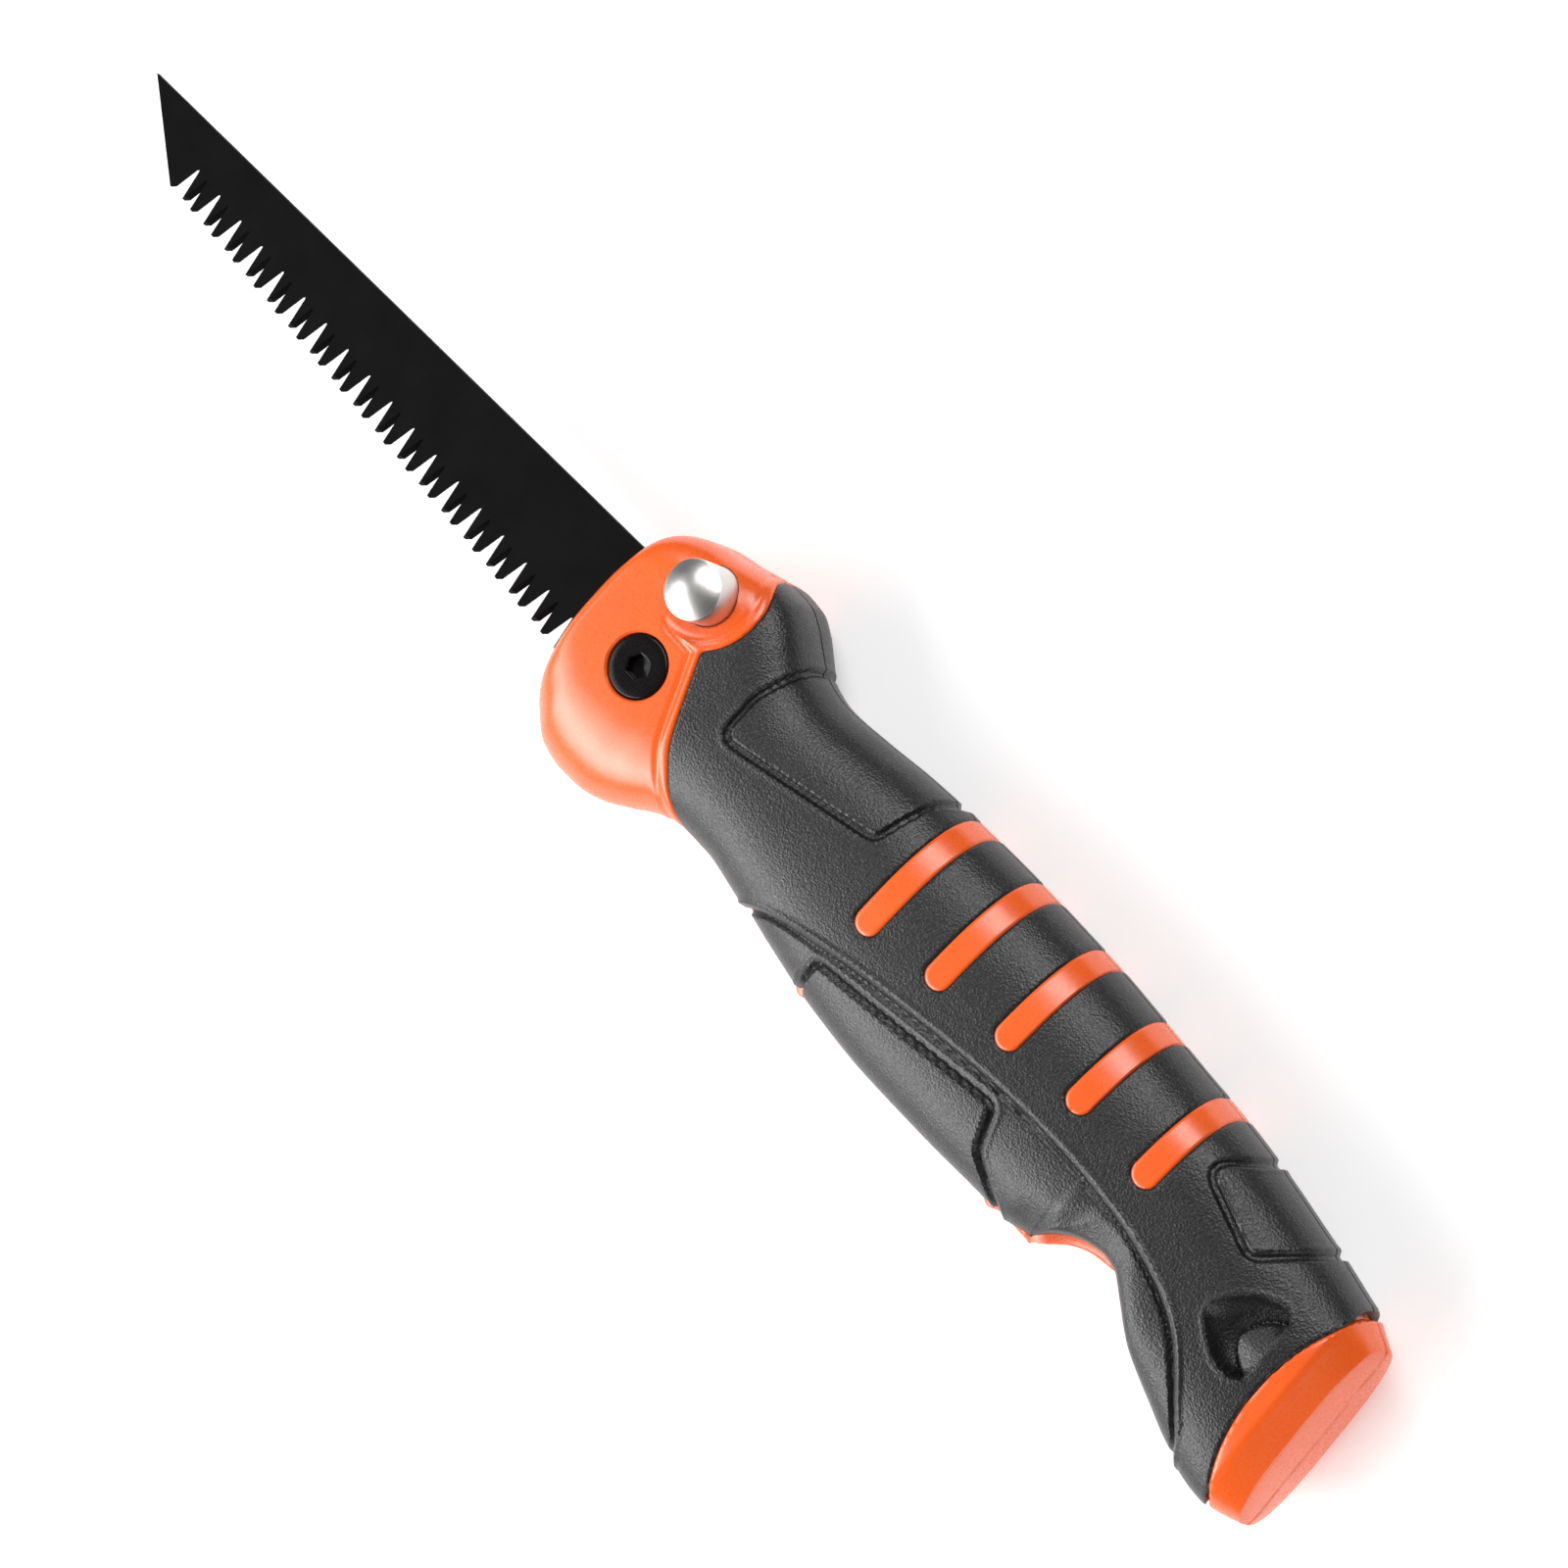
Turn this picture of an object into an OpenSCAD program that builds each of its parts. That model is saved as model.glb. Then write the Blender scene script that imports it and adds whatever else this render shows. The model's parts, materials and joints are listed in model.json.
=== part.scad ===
// Folding pruning saw with a two-shell handle, soft grips and a push-button blade lock.
// The saw lies on its side: +X runs towards the butt, +Y towards the spine, +Z out of the button side.
// Shapes are drawn about the pivot axis, with the middle of the blade's thickness at z = 0,
// and placed() then moves them so that the origin is at the middle of the footprint.

/* [Blade] */
// Thickness of the blade
blade_t = 1.2; // [0.9:0.1:1.3]
// Distance from the pivot to the blade's point
tip_x = 166.3; // [150:0.1:166.5]
// Height of the point above the pivot's level
tip_y = 7.2; // [6:0.1:9]
// Height of the straight back where it enters the head
back_y = 13.4; // [12:0.1:13.6]
// Distance from the pivot to the last tooth
last_tooth_x = 20.5; // [20:0.1:22]
// Depth of the last tooth below the pivot's level
last_tooth_y = 12; // [11.5:0.1:12.5]
// Depth of the first tooth below the pivot's level
first_tooth_y = 6.2; // [5.5:0.1:7]
// Distance from one tooth point to the next
tooth_pitch = 3.63; // [3.4:0.01:3.7]
// Number of gullets between the teeth
gullet_count = 35; // [30:1:35]
// Depth of a gullet
gullet_depth = 6.5; // [4:0.1:7]
// Angle at which alternate gullets are ground through the blade
grind_angle = 32; // [0:1:35]

/* [Handle] */
// Width of the gap that the blade folds into
slot_w = 3; // [2.6:0.1:3.6]
// Thickness of the soft grips
grip_t = 2.2; // [1.5:0.1:2.4]
// Half thickness of the flat sides of the head
head_half = 12.5; // [12:0.1:12.8]
// Radius of the round end of the hollow for a finger at the belly
finger_r = 13.2; // [12.8:0.1:13.6]
// Number of orange ribs across the grip
rib_count = 5; // [3:1:5]
// Distance between the first two ribs
rib_pitch = 16.4; // [15:0.1:16.5]
// Width of a rib
rib_w = 5.4; // [4:0.1:5.6]

/* [Pivot] */
// Radius of the pivot bolt's shank
bolt_r = 2.95; // [2.5:0.05:3]
// Radius of the pivot bolt's head
bolt_head_r = 6; // [5.5:0.1:6.2]
// Outer radius of the sleeve that the blade turns on
bush_r = 4.5; // [4:0.1:5]
// Width across the flats of the pivot nut
nut_af = 10; // [9.5:0.1:10]
// Outer radius of the washers beside the blade
washer_r = 10; // [8:0.1:10.2]

/* [Lock] */
// Distance from the pivot to the button's axis along the handle
button_x = 0.9; // [0:0.1:1.5]
// Distance from the pivot to the button's axis across the handle
button_y = 18.6; // [18.4:0.1:18.8]
// Radius of the button
button_r = 5.7; // [5.2:0.1:5.7]
// Height of the button above the head's flat side
button_out = 8.2; // [6:0.1:8.5]
// Radius of the collar that blocks the blade
collar_r = 6; // [5.9:0.1:6.1]
// Radius of the neck that the blade passes when the button is pressed
neck_r = 2.8; // [2.2:0.1:2.8]
// Depth that the button can be pressed
press_travel = 2; // [1.6:0.1:2.2]
// Radial clearance of the moving metal parts
running_gap = 0.05; // [0.02:0.01:0.08]

/* [Hidden] */
$fn = 48;

orange = "#f4581c";
grey = "#3a3a3c";
steel = "#b9bcc0";
black = "#1b1b1d";
far_below = 60;

// Side view of the handle: [x, belly y, spine y, half thickness, squareness of the section
// towards the belly, squareness towards the spine].
stations = [
    [-16.5, -11, 14, 11, 3, 4.5], [-15.5, -16, 18.4, 12.2, 3, 5], [-14, -19.5, 21, 13, 3, 5.5],
    [-11, -22.9, 23.4, 13.3, 3, 5.5], [-7, -25.6, 25.1, 13.4, 3, 5.5], [-2, -26.4, 26.2, 13.4, 3, 5.5],
    [3, -26.1, 27.6, 13.4, 3, 5.5], [8, -24.7, 28.8, 13.3, 2.9, 5], [12, -22.5, 28.6, 13.2, 2.8, 4.5],
    [16, -19.8, 27, 13, 2.7, 3.8], [20, -17.6, 24.4, 12.8, 2.6, 3.2], [25, -16.3, 21.5, 12.6, 2.5, 2.7],
    [31, -16.2, 20.6, 12.5, 2.5, 2.5], [40, -17.5, 21.4, 12.5, 2.5, 2.5],
    [52, -19.8, 22.9, 12.8, 2.5, 2.5], [66, -21.9, 23.8, 13.2, 2.5, 2.5],
    [82, -22.9, 24.2, 13.4, 2.5, 2.5], [98, -22.6, 24.1, 13.4, 2.5, 2.5],
    [112, -21.9, 23.4, 13.4, 2.5, 2.5], [124, -21.6, 22.6, 13.3, 2.5, 2.5],
    [136, -21.8, 21.8, 13.2, 2.6, 2.6], [148, -23, 20.5, 13, 2.6, 2.6],
    [158, -25, 18.9, 12.8, 2.7, 2.7], [168, -27.6, 17.2, 12.4, 2.8, 2.8],
    [175, -28.8, 16, 12.1, 2.9, 2.9], [176.8, -28.8, 15.7, 12, 2.9, 2.9],
    [182.6, -26.5, 12.5, 8.6, 2.9, 2.9], [184.7, -25.3, 11.3, 5.4, 2.9, 2.9],
    [185.6, -22.4, 8.4, 1.8, 2.9, 2.9]
];
arc_steps = 14;
butt_slant = 0.1;
slant_from = 165;
grip_from = 5;
grip_to = 181;

blade_half = blade_t / 2;
shell_face = slot_w / 2;
slide_gap = 0.05;
first_tooth_x = last_tooth_x + gullet_count * tooth_pitch * cos(tooth_slope());
tang_r = 15.5;
notch_r = collar_r + 0.2;
stop_pin_r = 2;
open_stop = [-12.5, back_height(-12.5) + stop_pin_r + slide_gap];
fold_stop = [13, last_tooth_y + 0.1 + stop_pin_r + slide_gap];
stop_pin_half = 6;

bolt_seat = 9.7;
bolt_top = head_half - 0.3;
bolt_end = -12;
socket_af = 4;
socket_depth = 2.2;
sleeve_half = 4.5;
nut_seat = -7.4;
nut_washer_t = 0.8;
nut_h = 4.6;

collar_top = -blade_half - slide_gap;
collar_t = 3;
neck_top = blade_half + press_travel + 0.1;
bush_outer_r = 6.8;
near_bush_top = 5.5;
far_bush_end = collar_top - collar_t - press_travel - 0.15;
spring_floor = -10.5;
spring_r = 3.8;
spring_wire_r = 0.4;
spring_turns = 4;
hole_r = button_r + 0.2;

spine_screw_places = [[28, 15.8], [73, 17], [116, 16.5], [151, 14]];
butt_screw_places = [[164.5, 11.3], [172.2, -19]];
screw_r = 1.45;
screw_hole_r = 1.5;
screw_head_r = 3;
screw_head_h = 2;
screw_end = 4.5;
spine_seat = -5.4;
butt_seat = -7.5;

rib_first = [66.1, -3.1];
rib_spread = 0.15;
rib_rise = [0, 2.7, 4.6, 6.2, 5.8];
pocket_floor = 8.6;
finger_at = [138.5, -25.8];
grip_sink = 1.1;
belly_gap = 2.6;
bays = [[32, -9, 8], [64, -12, 7], [96, -12, 6], [128, -8, 5]]; // start, low edge and high edge
bay_length = 28;
bay_half = 8;

end_station = stations[len(stations) - 1];
frame_x = (tip_x - end_station[0] + butt_slant * end_station[1]) / 2;
frame_z = 13.4;

// ---- Functions ----
function tooth_slope() = asin((last_tooth_y - first_tooth_y) / (gullet_count * tooth_pitch));

// Height of the blade's back at a place along it.
function back_height(x) = tip_y + (back_y - tip_y) * (x + tip_x) / (tip_x - last_tooth_x);

// How far a point at height y is pushed along the handle, so that the butt slants.
function slant(x, y) = -butt_slant * y * max(0, min(1, (x - slant_from) / 15));

// One point of a half section, at angle t from the spine over the top to the belly.
function section_point(s, inset, t) =
    let (mid = (s[1] + s[2]) / 2)
    let (half_y = (s[2] - s[1]) / 2 - inset)
    let (power = 2 / (t < 90 ? s[5] : s[4]))
    let (y = mid + sign(cos(t)) * half_y * pow(abs(cos(t)), power))
    let (z = (s[3] - inset) * pow(max(0, sin(t)), power))
    [s[0] + slant(s[0], y), y, min(z, head_half + (s[0] > 20 ? 5 : 0) - inset)];

function half_section(s, inset) =
    [for (i = [0 : arc_steps]) section_point(s, inset, 180 * i / arc_steps)];

// The rows between two places along the handle, with a new row where the span starts and ends.
function blend(a, b, x) = a + (b - a) * (x - a[0]) / (b[0] - a[0]);
function station_at(x, i = 0) =
    stations[i + 1][0] >= x ? blend(stations[i], stations[i + 1], x) : station_at(x, i + 1);
function span(x0, x1) =
    concat([station_at(x0)], [for (s = stations) if (s[0] > x0 && s[0] < x1) s], [station_at(x1)]);

// Triangles that join ring k to ring k + 1, each ring having n points.
function ring_wall(k, n) = [
    for (i = [0 : n - 1])
        let (a = k * n + i)
        let (b = k * n + (i + 1) % n)
        each [[a, a + n, b], [b, a + n, b + n]]
];

// ---- Shared shapes ----
module placed() {
    translate([frame_x, 0, frame_z]) children();
}

// Solid half of the handle above the parting plane.
module half_handle() {
    n = arc_steps + 1;
    rows = len(stations);
    points = [for (s = stations) each half_section(s, 0)];
    walls = [for (k = [0 : rows - 2]) each ring_wall(k, n)];
    front = [for (i = [1 : n - 2]) [0, i, i + 1]];
    back = [for (i = [1 : n - 2]) [(rows - 1) * n, (rows - 1) * n + i + 1, (rows - 1) * n + i]];
    polyhedron(points = points, faces = concat(walls, front, back));
}

// Layer of one thickness under the handle's surface, above the parting plane.
module half_layer() {
    rows_in = span(grip_from, grip_to);
    n = 2 * (arc_steps + 1);
    rows = len(rows_in);
    points = [
        for (s = rows_in)
            each concat(
                half_section(s, 0),
                [for (i = [arc_steps : -1 : 0]) half_section(s, grip_t)[i]]
            )
    ];
    walls = [for (k = [0 : rows - 2]) each ring_wall(k, n)];
    end = (rows - 1) * n;
    front = [
        for (i = [0 : arc_steps - 1])
            each [[i, i + 1, n - 2 - i], [i, n - 2 - i, n - 1 - i]]
    ];
    back = [for (f = front) [end + f[0], end + f[2], end + f[1]]];
    polyhedron(points = points, faces = concat(walls, front, back));
}

// Side view of the area that the grip covers: behind the head's curved edge, ahead of the butt.
module grip_area() {
    difference() {
        polygon([
            [7.4, 11.1], [10.2, 5], [13.2, -1.7], [16.4, -8], [20, -12.6], [26, -17], [28, -40],
            [184, -40], [184, 40], [4, 40], [4, 12]
        ]);
        translate([-1.3, 20.2]) circle(r = 13);
        translate([218, -3.5]) circle(r = 44.7);
    }
}

module rib_area(i) {
    start = [rib_first[0] + i * (rib_pitch + i * rib_spread), rib_first[1] + rib_rise[i] + rib_w / 2];
    translate(start) {
        circle(d = rib_w);
        polygon([[-rib_w / 2, 0], [rib_w / 2, 0], [rib_w * 0.53, 40], [-rib_w * 0.53, 40]]);
    }
}

// Soft layer of one side, without the ribs' slots.
module grip_solid() {
    difference() {
        intersection() {
            half_layer();
            linear_extrude(height = 20) grip_area();
        }
        for (i = [0 : rib_count - 1])
            translate([0, 0, -1]) linear_extrude(height = 22) rib_area(i);
        translate([grip_from, -40, -1]) cube([grip_to, 30, belly_gap + 1]);
    }
}

// Space in the middle that the blade needs as it swings and where it rests.
module blade_space() {
    translate([0, 0, -shell_face]) linear_extrude(height = slot_w) {
        circle(r = tang_r + 0.6);
        polygon([
            [-30, -far_below], [-30, back_y + 0.9], [-8, back_y + 1], [8, back_y],
            [last_tooth_x + 2, last_tooth_y + 1.4], [first_tooth_x + 2, first_tooth_y + 1.4],
            [tip_x + 2, -tip_y + 1], [tip_x + 2, -far_below]
        ]);
    }
}

// Cored-out bays that leave ribs across the shell.
module core_bays() {
    for (b = bays)
        translate([b[0], b[1], -bay_half]) cube([bay_length, b[2] - b[1], 2 * bay_half]);
}

// Hollow for a finger: round ahead of its deepest place and a ramp behind it.
module finger_hollow(extra) {
    r = finger_r + extra;
    arc = [for (t = [90 : 7.5 : 180]) [r * cos(t), r * sin(t)]];
    ramp = [[24, r - 13.4], [17.5, r - 10], [13, r - 7.4], [9.6, r - 4.8], [4, r - 1], [1.5, r - 0.1]];
    translate([finger_at[0], finger_at[1], -20])
        linear_extrude(height = 40) polygon(concat(arc, [[-r, -20], [24, -20]], ramp));
}

// Shallow three-sided pocket near the butt.
module pocket() {
    translate([0, 0, pocket_floor]) linear_extrude(height = 10) hull() {
        translate([161.6, -3.2]) circle(r = 2.2);
        translate([162.6, 2.2]) circle(r = 2.6);
        translate([167.6, -5.6]) circle(r = 1.8);
        translate([167.6, 5]) circle(r = 1.8);
    }
}

// The half shell that both sides share, drawn on the button side.
module shell_blank() {
    difference() {
        half_handle();
        grip_solid();
        blade_space();
        core_bays();
        finger_hollow(0);
        pocket();
        translate([0, 0, -1]) cylinder(r = bush_r, h = sleeve_half + 1);
        translate([0, 0, -1]) cylinder(r = bolt_r + 0.2, h = 20);
        for (p = [open_stop, fold_stop])
            translate([p[0], p[1], -1]) cylinder(r = stop_pin_r, h = stop_pin_half + 1);
    }
}

module washer(inner_r, outer_r, bottom, t) {
    translate([0, 0, bottom]) difference() {
        cylinder(r = outer_r, h = t);
        translate([0, 0, -1]) cylinder(r = inner_r, h = t + 2);
    }
}

module hex(af, bottom, h) {
    translate([0, 0, bottom]) cylinder(d = af / cos(30), h = h, $fn = 6);
}

module at_button() {
    translate([button_x, button_y, 0]) children();
}

// ---- Handle ----
module near_shell() {
    color(orange) placed() difference() {
        shell_blank();
        translate([0, 0, bolt_seat]) cylinder(r = bolt_head_r + 0.26, h = 10);
        at_button() translate([0, 0, -1]) cylinder(r = bush_outer_r, h = near_bush_top + 1);
        at_button() cylinder(r = hole_r, h = 20);
        for (p = concat(spine_screw_places, butt_screw_places))
            translate([p[0], p[1], -1]) cylinder(r = screw_hole_r, h = screw_end + 1.5);
    }
}

module far_shell() {
    color(orange) placed() difference() {
        mirror([0, 0, 1]) shell_blank();
        hex(nut_af + 0.2, -20, 20 + nut_seat + nut_washer_t);
        at_button() translate([0, 0, far_bush_end]) cylinder(r = bush_outer_r, h = 20);
        at_button() translate([0, 0, spring_floor]) cylinder(r = spring_r + 1, h = 20);
        screw_holes(spine_screw_places, spine_seat);
        screw_holes(butt_screw_places, butt_seat);
    }
}

// Clearance holes with counterbores, open on the far side.
module screw_holes(places, seat) {
    for (p = places) translate([p[0], p[1], -20]) {
        cylinder(r = screw_hole_r + 0.1, h = 25);
        cylinder(r = screw_head_r + 0.2, h = 20 + seat);
    }
}

module near_grip() {
    color(grey) placed() difference() {
        grip_solid();
        finger_hollow(grip_sink);
        pocket();
    }
}

module far_grip() {
    color(grey) placed() difference() {
        mirror([0, 0, 1]) grip_solid();
        finger_hollow(grip_sink);
        mirror([0, 0, 1]) pocket();
        screw_holes(spine_screw_places, spine_seat);
        screw_holes(butt_screw_places, butt_seat);
    }
}

// ---- Blade ----
// One gullet, with the sharp side of its tooth towards the blade's point and a bevel behind it.
module gullet() {
    root = tooth_pitch * 0.58;
    outline = [
        [-0.1, -2], [0, 0], [0.9, 0.9], [root - 0.25, gullet_depth - 0.4], [root, gullet_depth],
        [root + 0.2, gullet_depth - 0.3], [tooth_pitch, 0], [tooth_pitch + 0.1, -2]
    ];
    polygon([for (p = outline) [p[0] * cos(grind_angle), p[1]]]);
}

module gullets() {
    translate([-first_tooth_x, -first_tooth_y, 0]) rotate([0, 0, -tooth_slope()])
        for (i = [0 : gullet_count - 1])
            translate([i * tooth_pitch, 0, 0]) rotate([0, (i % 2 == 0 ? 1 : -1) * grind_angle, 0])
                translate([0, 0, -3]) linear_extrude(height = 6) gullet();
}

module blade() {
    color(black) placed() difference() {
        translate([0, 0, -blade_half]) {
            cylinder(r = tang_r, h = blade_t);
            linear_extrude(height = blade_t) polygon([
                [-tip_x, tip_y], [-6, back_height(-6)], [0, 0], [-9.6, -last_tooth_y - 0.1],
                [-last_tooth_x, -last_tooth_y], [-first_tooth_x, -first_tooth_y]
            ]);
        }
        gullets();
        for (side = [1, -1])
            translate([side * button_x, side * button_y, -5]) cylinder(r = notch_r, h = 10);
        translate([0, 0, -5]) cylinder(r = bush_r + running_gap, h = 10);
    }
}

// ---- Pivot ----
module pivot_bolt() {
    color(black) placed() difference() {
        union() {
            translate([0, 0, bolt_end]) cylinder(r = bolt_r, h = bolt_seat - bolt_end + 1);
            translate([0, 0, bolt_seat]) cylinder(r = bolt_head_r, h = bolt_top - bolt_seat - 0.3);
            translate([0, 0, bolt_top - 0.3]) cylinder(r1 = bolt_head_r, r2 = bolt_head_r - 0.3, h = 0.3);
        }
        hex(socket_af, bolt_top - socket_depth, 10);
    }
}

module pivot_nut() {
    color(steel) placed() difference() {
        hex(nut_af, nut_seat - nut_h, nut_h);
        translate([0, 0, -20]) cylinder(r = bolt_r + 0.05, h = 20);
    }
}

module nut_washer() {
    color(steel) placed() washer(bolt_r + 0.15, nut_af / 2 - 0.1, nut_seat, nut_washer_t);
}

module pivot_sleeve() {
    color(steel) placed() washer(bolt_r + 0.1, bush_r, -sleeve_half, 2 * sleeve_half);
}

module near_washer() {
    gap_top = blade_half + slide_gap;
    color(steel) placed() washer(bush_r + 0.1, washer_r, gap_top, shell_face - gap_top);
}

module far_washer() {
    gap_top = blade_half + slide_gap;
    color(steel) placed() washer(bush_r + 0.1, washer_r, -shell_face, shell_face - gap_top);
}

// ---- Lock ----
// Turned in one piece: crowned button, thin neck and the collar that sits in the blade's notch.
module lock_button() {
    top = head_half + button_out;
    crown_r = 16;
    color("silver") placed() at_button() union() {
        translate([0, 0, collar_top - collar_t]) cylinder(r = collar_r, h = collar_t);
        translate([0, 0, collar_top - 1]) cylinder(r = neck_r, h = neck_top - collar_top + 2);
        translate([0, 0, neck_top]) cylinder(r = button_r, h = top - 2 - neck_top);
        intersection() {
            translate([0, 0, top - 2]) rotate_extrude() {
                square([button_r - 1.2, 2]);
                square([button_r, 0.8]);
                translate([button_r - 1.2, 0.8]) circle(r = 1.2);
            }
            translate([0, 0, top - crown_r]) sphere(r = crown_r);
        }
    }
}

// Coil wound from one tube, from the floor of its pocket to the collar.
module lock_spring() {
    sides = 8;
    per_turn = 16;
    rings = spring_turns * per_turn;
    low = spring_floor + spring_wire_r + 0.05;
    high = collar_top - collar_t - spring_wire_r - 0.05;
    points = [
        for (k = [0 : rings], i = [0 : sides - 1])
            let (turn = 360 * k / per_turn)
            let (side = 360 * i / sides)
            let (r = spring_r + spring_wire_r * cos(side))
            [r * cos(turn), r * sin(turn), low + (high - low) * k / rings + spring_wire_r * sin(side)]
    ];
    walls = [for (k = [0 : rings - 1]) each ring_wall(k, sides)];
    front = [for (i = [1 : sides - 2]) [0, i, i + 1]];
    back = [for (i = [1 : sides - 2]) [rings * sides, rings * sides + i + 1, rings * sides + i]];
    color(steel) placed() at_button() polyhedron(points = points, faces = concat(walls, front, back));
}

module near_lock_bush() {
    foot = blade_half + slide_gap;
    color(steel) placed() at_button()
        washer(button_r + running_gap, bush_outer_r, foot, near_bush_top - foot);
}

module far_lock_bush() {
    foot = blade_half + slide_gap;
    color(steel) placed() at_button()
        washer(collar_r + running_gap, bush_outer_r, far_bush_end, -foot - far_bush_end);
}

// ---- Stops and screws ----
module stop_pin(place) {
    translate([place[0], place[1], -stop_pin_half]) cylinder(r = stop_pin_r, h = 2 * stop_pin_half);
}

module open_stop_pin() {
    color(steel) placed() stop_pin(open_stop);
}

module fold_stop_pin() {
    color(steel) placed() stop_pin(fold_stop);
}

// Thread-forming screws driven from the far side, with crossed recesses.
module screws(places, seat) {
    for (p = places) translate([p[0], p[1], seat]) difference() {
        union() {
            translate([0, 0, -screw_head_h]) cylinder(r = screw_head_r, h = screw_head_h);
            cylinder(r = screw_r, h = screw_end - seat);
        }
        for (turn = [0, 90])
            rotate([0, 0, turn]) translate([-1.6, -0.35, -screw_head_h - 1]) cube([3.2, 0.7, 2.2]);
    }
}

module spine_screws() {
    color(steel) placed() screws(spine_screw_places, spine_seat);
}

module butt_screws() {
    color(steel) placed() screws(butt_screw_places, butt_seat);
}

near_shell();
far_shell();
near_grip();
far_grip();
blade();
pivot_bolt();
pivot_nut();
nut_washer();
pivot_sleeve();
near_washer();
far_washer();
lock_button();
lock_spring();
near_lock_bush();
far_lock_bush();
open_stop_pin();
fold_stop_pin();
spine_screws();
butt_screws();
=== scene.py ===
"""Looks for the folding pruning saw.

Shapes are worked out in millimetres about the pivot axis, with the middle of the blade's thickness at
z = 0, +X towards the butt, +Y towards the spine and +Z out of the button side. to_row() moves them into
the row frame, in metres, by the place that the record gives the pivot.
"""

import json
import math

import bpy
import numpy as np
from mathutils import Matrix, Vector


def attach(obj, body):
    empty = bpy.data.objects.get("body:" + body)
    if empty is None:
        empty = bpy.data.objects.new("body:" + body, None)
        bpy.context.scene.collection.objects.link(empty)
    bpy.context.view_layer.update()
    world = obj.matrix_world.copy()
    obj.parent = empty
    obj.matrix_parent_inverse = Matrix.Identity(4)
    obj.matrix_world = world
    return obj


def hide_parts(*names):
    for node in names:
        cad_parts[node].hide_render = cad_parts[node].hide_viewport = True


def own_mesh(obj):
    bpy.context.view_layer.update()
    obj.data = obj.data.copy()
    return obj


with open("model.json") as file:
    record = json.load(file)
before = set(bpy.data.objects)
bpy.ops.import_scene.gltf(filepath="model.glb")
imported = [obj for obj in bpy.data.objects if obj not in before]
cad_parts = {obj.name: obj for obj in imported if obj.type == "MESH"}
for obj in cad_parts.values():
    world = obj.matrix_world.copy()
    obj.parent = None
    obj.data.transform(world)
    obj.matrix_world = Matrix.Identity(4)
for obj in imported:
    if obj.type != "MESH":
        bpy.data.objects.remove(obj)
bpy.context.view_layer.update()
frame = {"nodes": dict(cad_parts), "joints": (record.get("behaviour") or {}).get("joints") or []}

MM = 0.001
PIVOT = np.array(next(j for j in frame["joints"] if j["name"] == "blade_pivot")["pos_m"], float)

# ---- Driving sizes, in millimetres ----
# Side view of the handle: x, belly y, spine y, half thickness, squareness of the section towards the
# belly and towards the spine.
STATIONS = np.array([
    (-16.5, -11, 14, 11, 2.6, 4), (-15.5, -16, 18.4, 12.2, 2.4, 4.1), (-14, -19.5, 21, 13, 2.3, 4.2),
    (-11, -22.9, 23.4, 13.3, 2.2, 4.2), (-7, -25.6, 25.1, 13.4, 2.2, 4.2),
    (-2, -26.4, 26.2, 13.4, 2.2, 4.2), (3, -26.1, 27.6, 13.4, 2.2, 4.2), (8, -24.7, 28.8, 13.3, 2.2, 4.2),
    (12, -22.5, 28.6, 13.2, 2.3, 4), (16, -19.8, 27, 13, 2.3, 3.6), (20, -17.6, 24.4, 12.8, 2.4, 3.2),
    (25, -16.3, 21.5, 12.6, 2.5, 2.7),
    (31, -16.2, 20.6, 12.5, 2.5, 2.5), (40, -17.5, 21.4, 12.5, 2.5, 2.5),
    (52, -19.8, 22.9, 12.8, 2.5, 2.5), (66, -21.9, 23.8, 13.2, 2.5, 2.5),
    (82, -22.9, 24.2, 13.4, 2.5, 2.5), (98, -22.6, 24.1, 13.4, 2.5, 2.5),
    (112, -21.9, 23.4, 13.4, 2.5, 2.5), (124, -21.6, 22.6, 13.3, 2.5, 2.5),
    (136, -21.8, 21.8, 13.2, 2.6, 2.6), (148, -23, 20.5, 13, 2.6, 2.6),
    (158, -25, 18.9, 12.8, 2.7, 2.7), (168, -27.6, 17.2, 12.4, 2.8, 2.8),
    (175, -28.7, 15.9, 12.1, 2.9, 2.9), (177, -28.7, 15.6, 12, 2.9, 2.9),
])
CAP_RIDGE_X = 176.6
CAP_CHAMFER_X = 183.1
CAP_END_X = 183.7
# How far the chamfer comes in at the belly, at the spine and in thickness.
CAP_CHAMFER_IN = (2.3, 3.2, 3.5)
CAP_END_ROUND = 3.0
# How far the end closes to the parting plane, and the shares of it at which its rows stand.
CAP_END_CLOSED = 0.985
CAP_END_ROWS = (
    0.008, 0.03, 0.07, 0.13, 0.2, 0.28, 0.37, 0.46, 0.55, 0.64, 0.73, 0.82, 0.9, 0.945, 0.97,
    0.985, 1.0,
)
# The butt's end leans, so that it stands out more on the far side: millimetres along per millimetre
# of depth.
CAP_TILT = 0.13
SLANT = 0.1
SLANT_FROM = 165
SLANT_OVER = 15

FRONT_X = -16.5
FRONT_ROWS_TO = -13.5
FRONT_ROWS = 13
ROW_STEP = 0.38
HOLLOW_ROW_SHARE = 0.6
ARC_POINTS = 159
# The first points of a row, by their distance from the spine, and the samples that a row is taken from.
SPINE_POINTS = (0, 0.16, 0.34)
SECTION_SAMPLES = 1600
HALF_MAX = 13.39
# Where the drawn lines stop at the butt, and a distance that is far outside the handle.
FIELD_TO_X = 176
AWAY = 60
SLOT_HALF = 1.5
SLOT_END_X = 168
SLOT_POINTS = 8
SLOT_ROOF = 1.5
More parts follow.
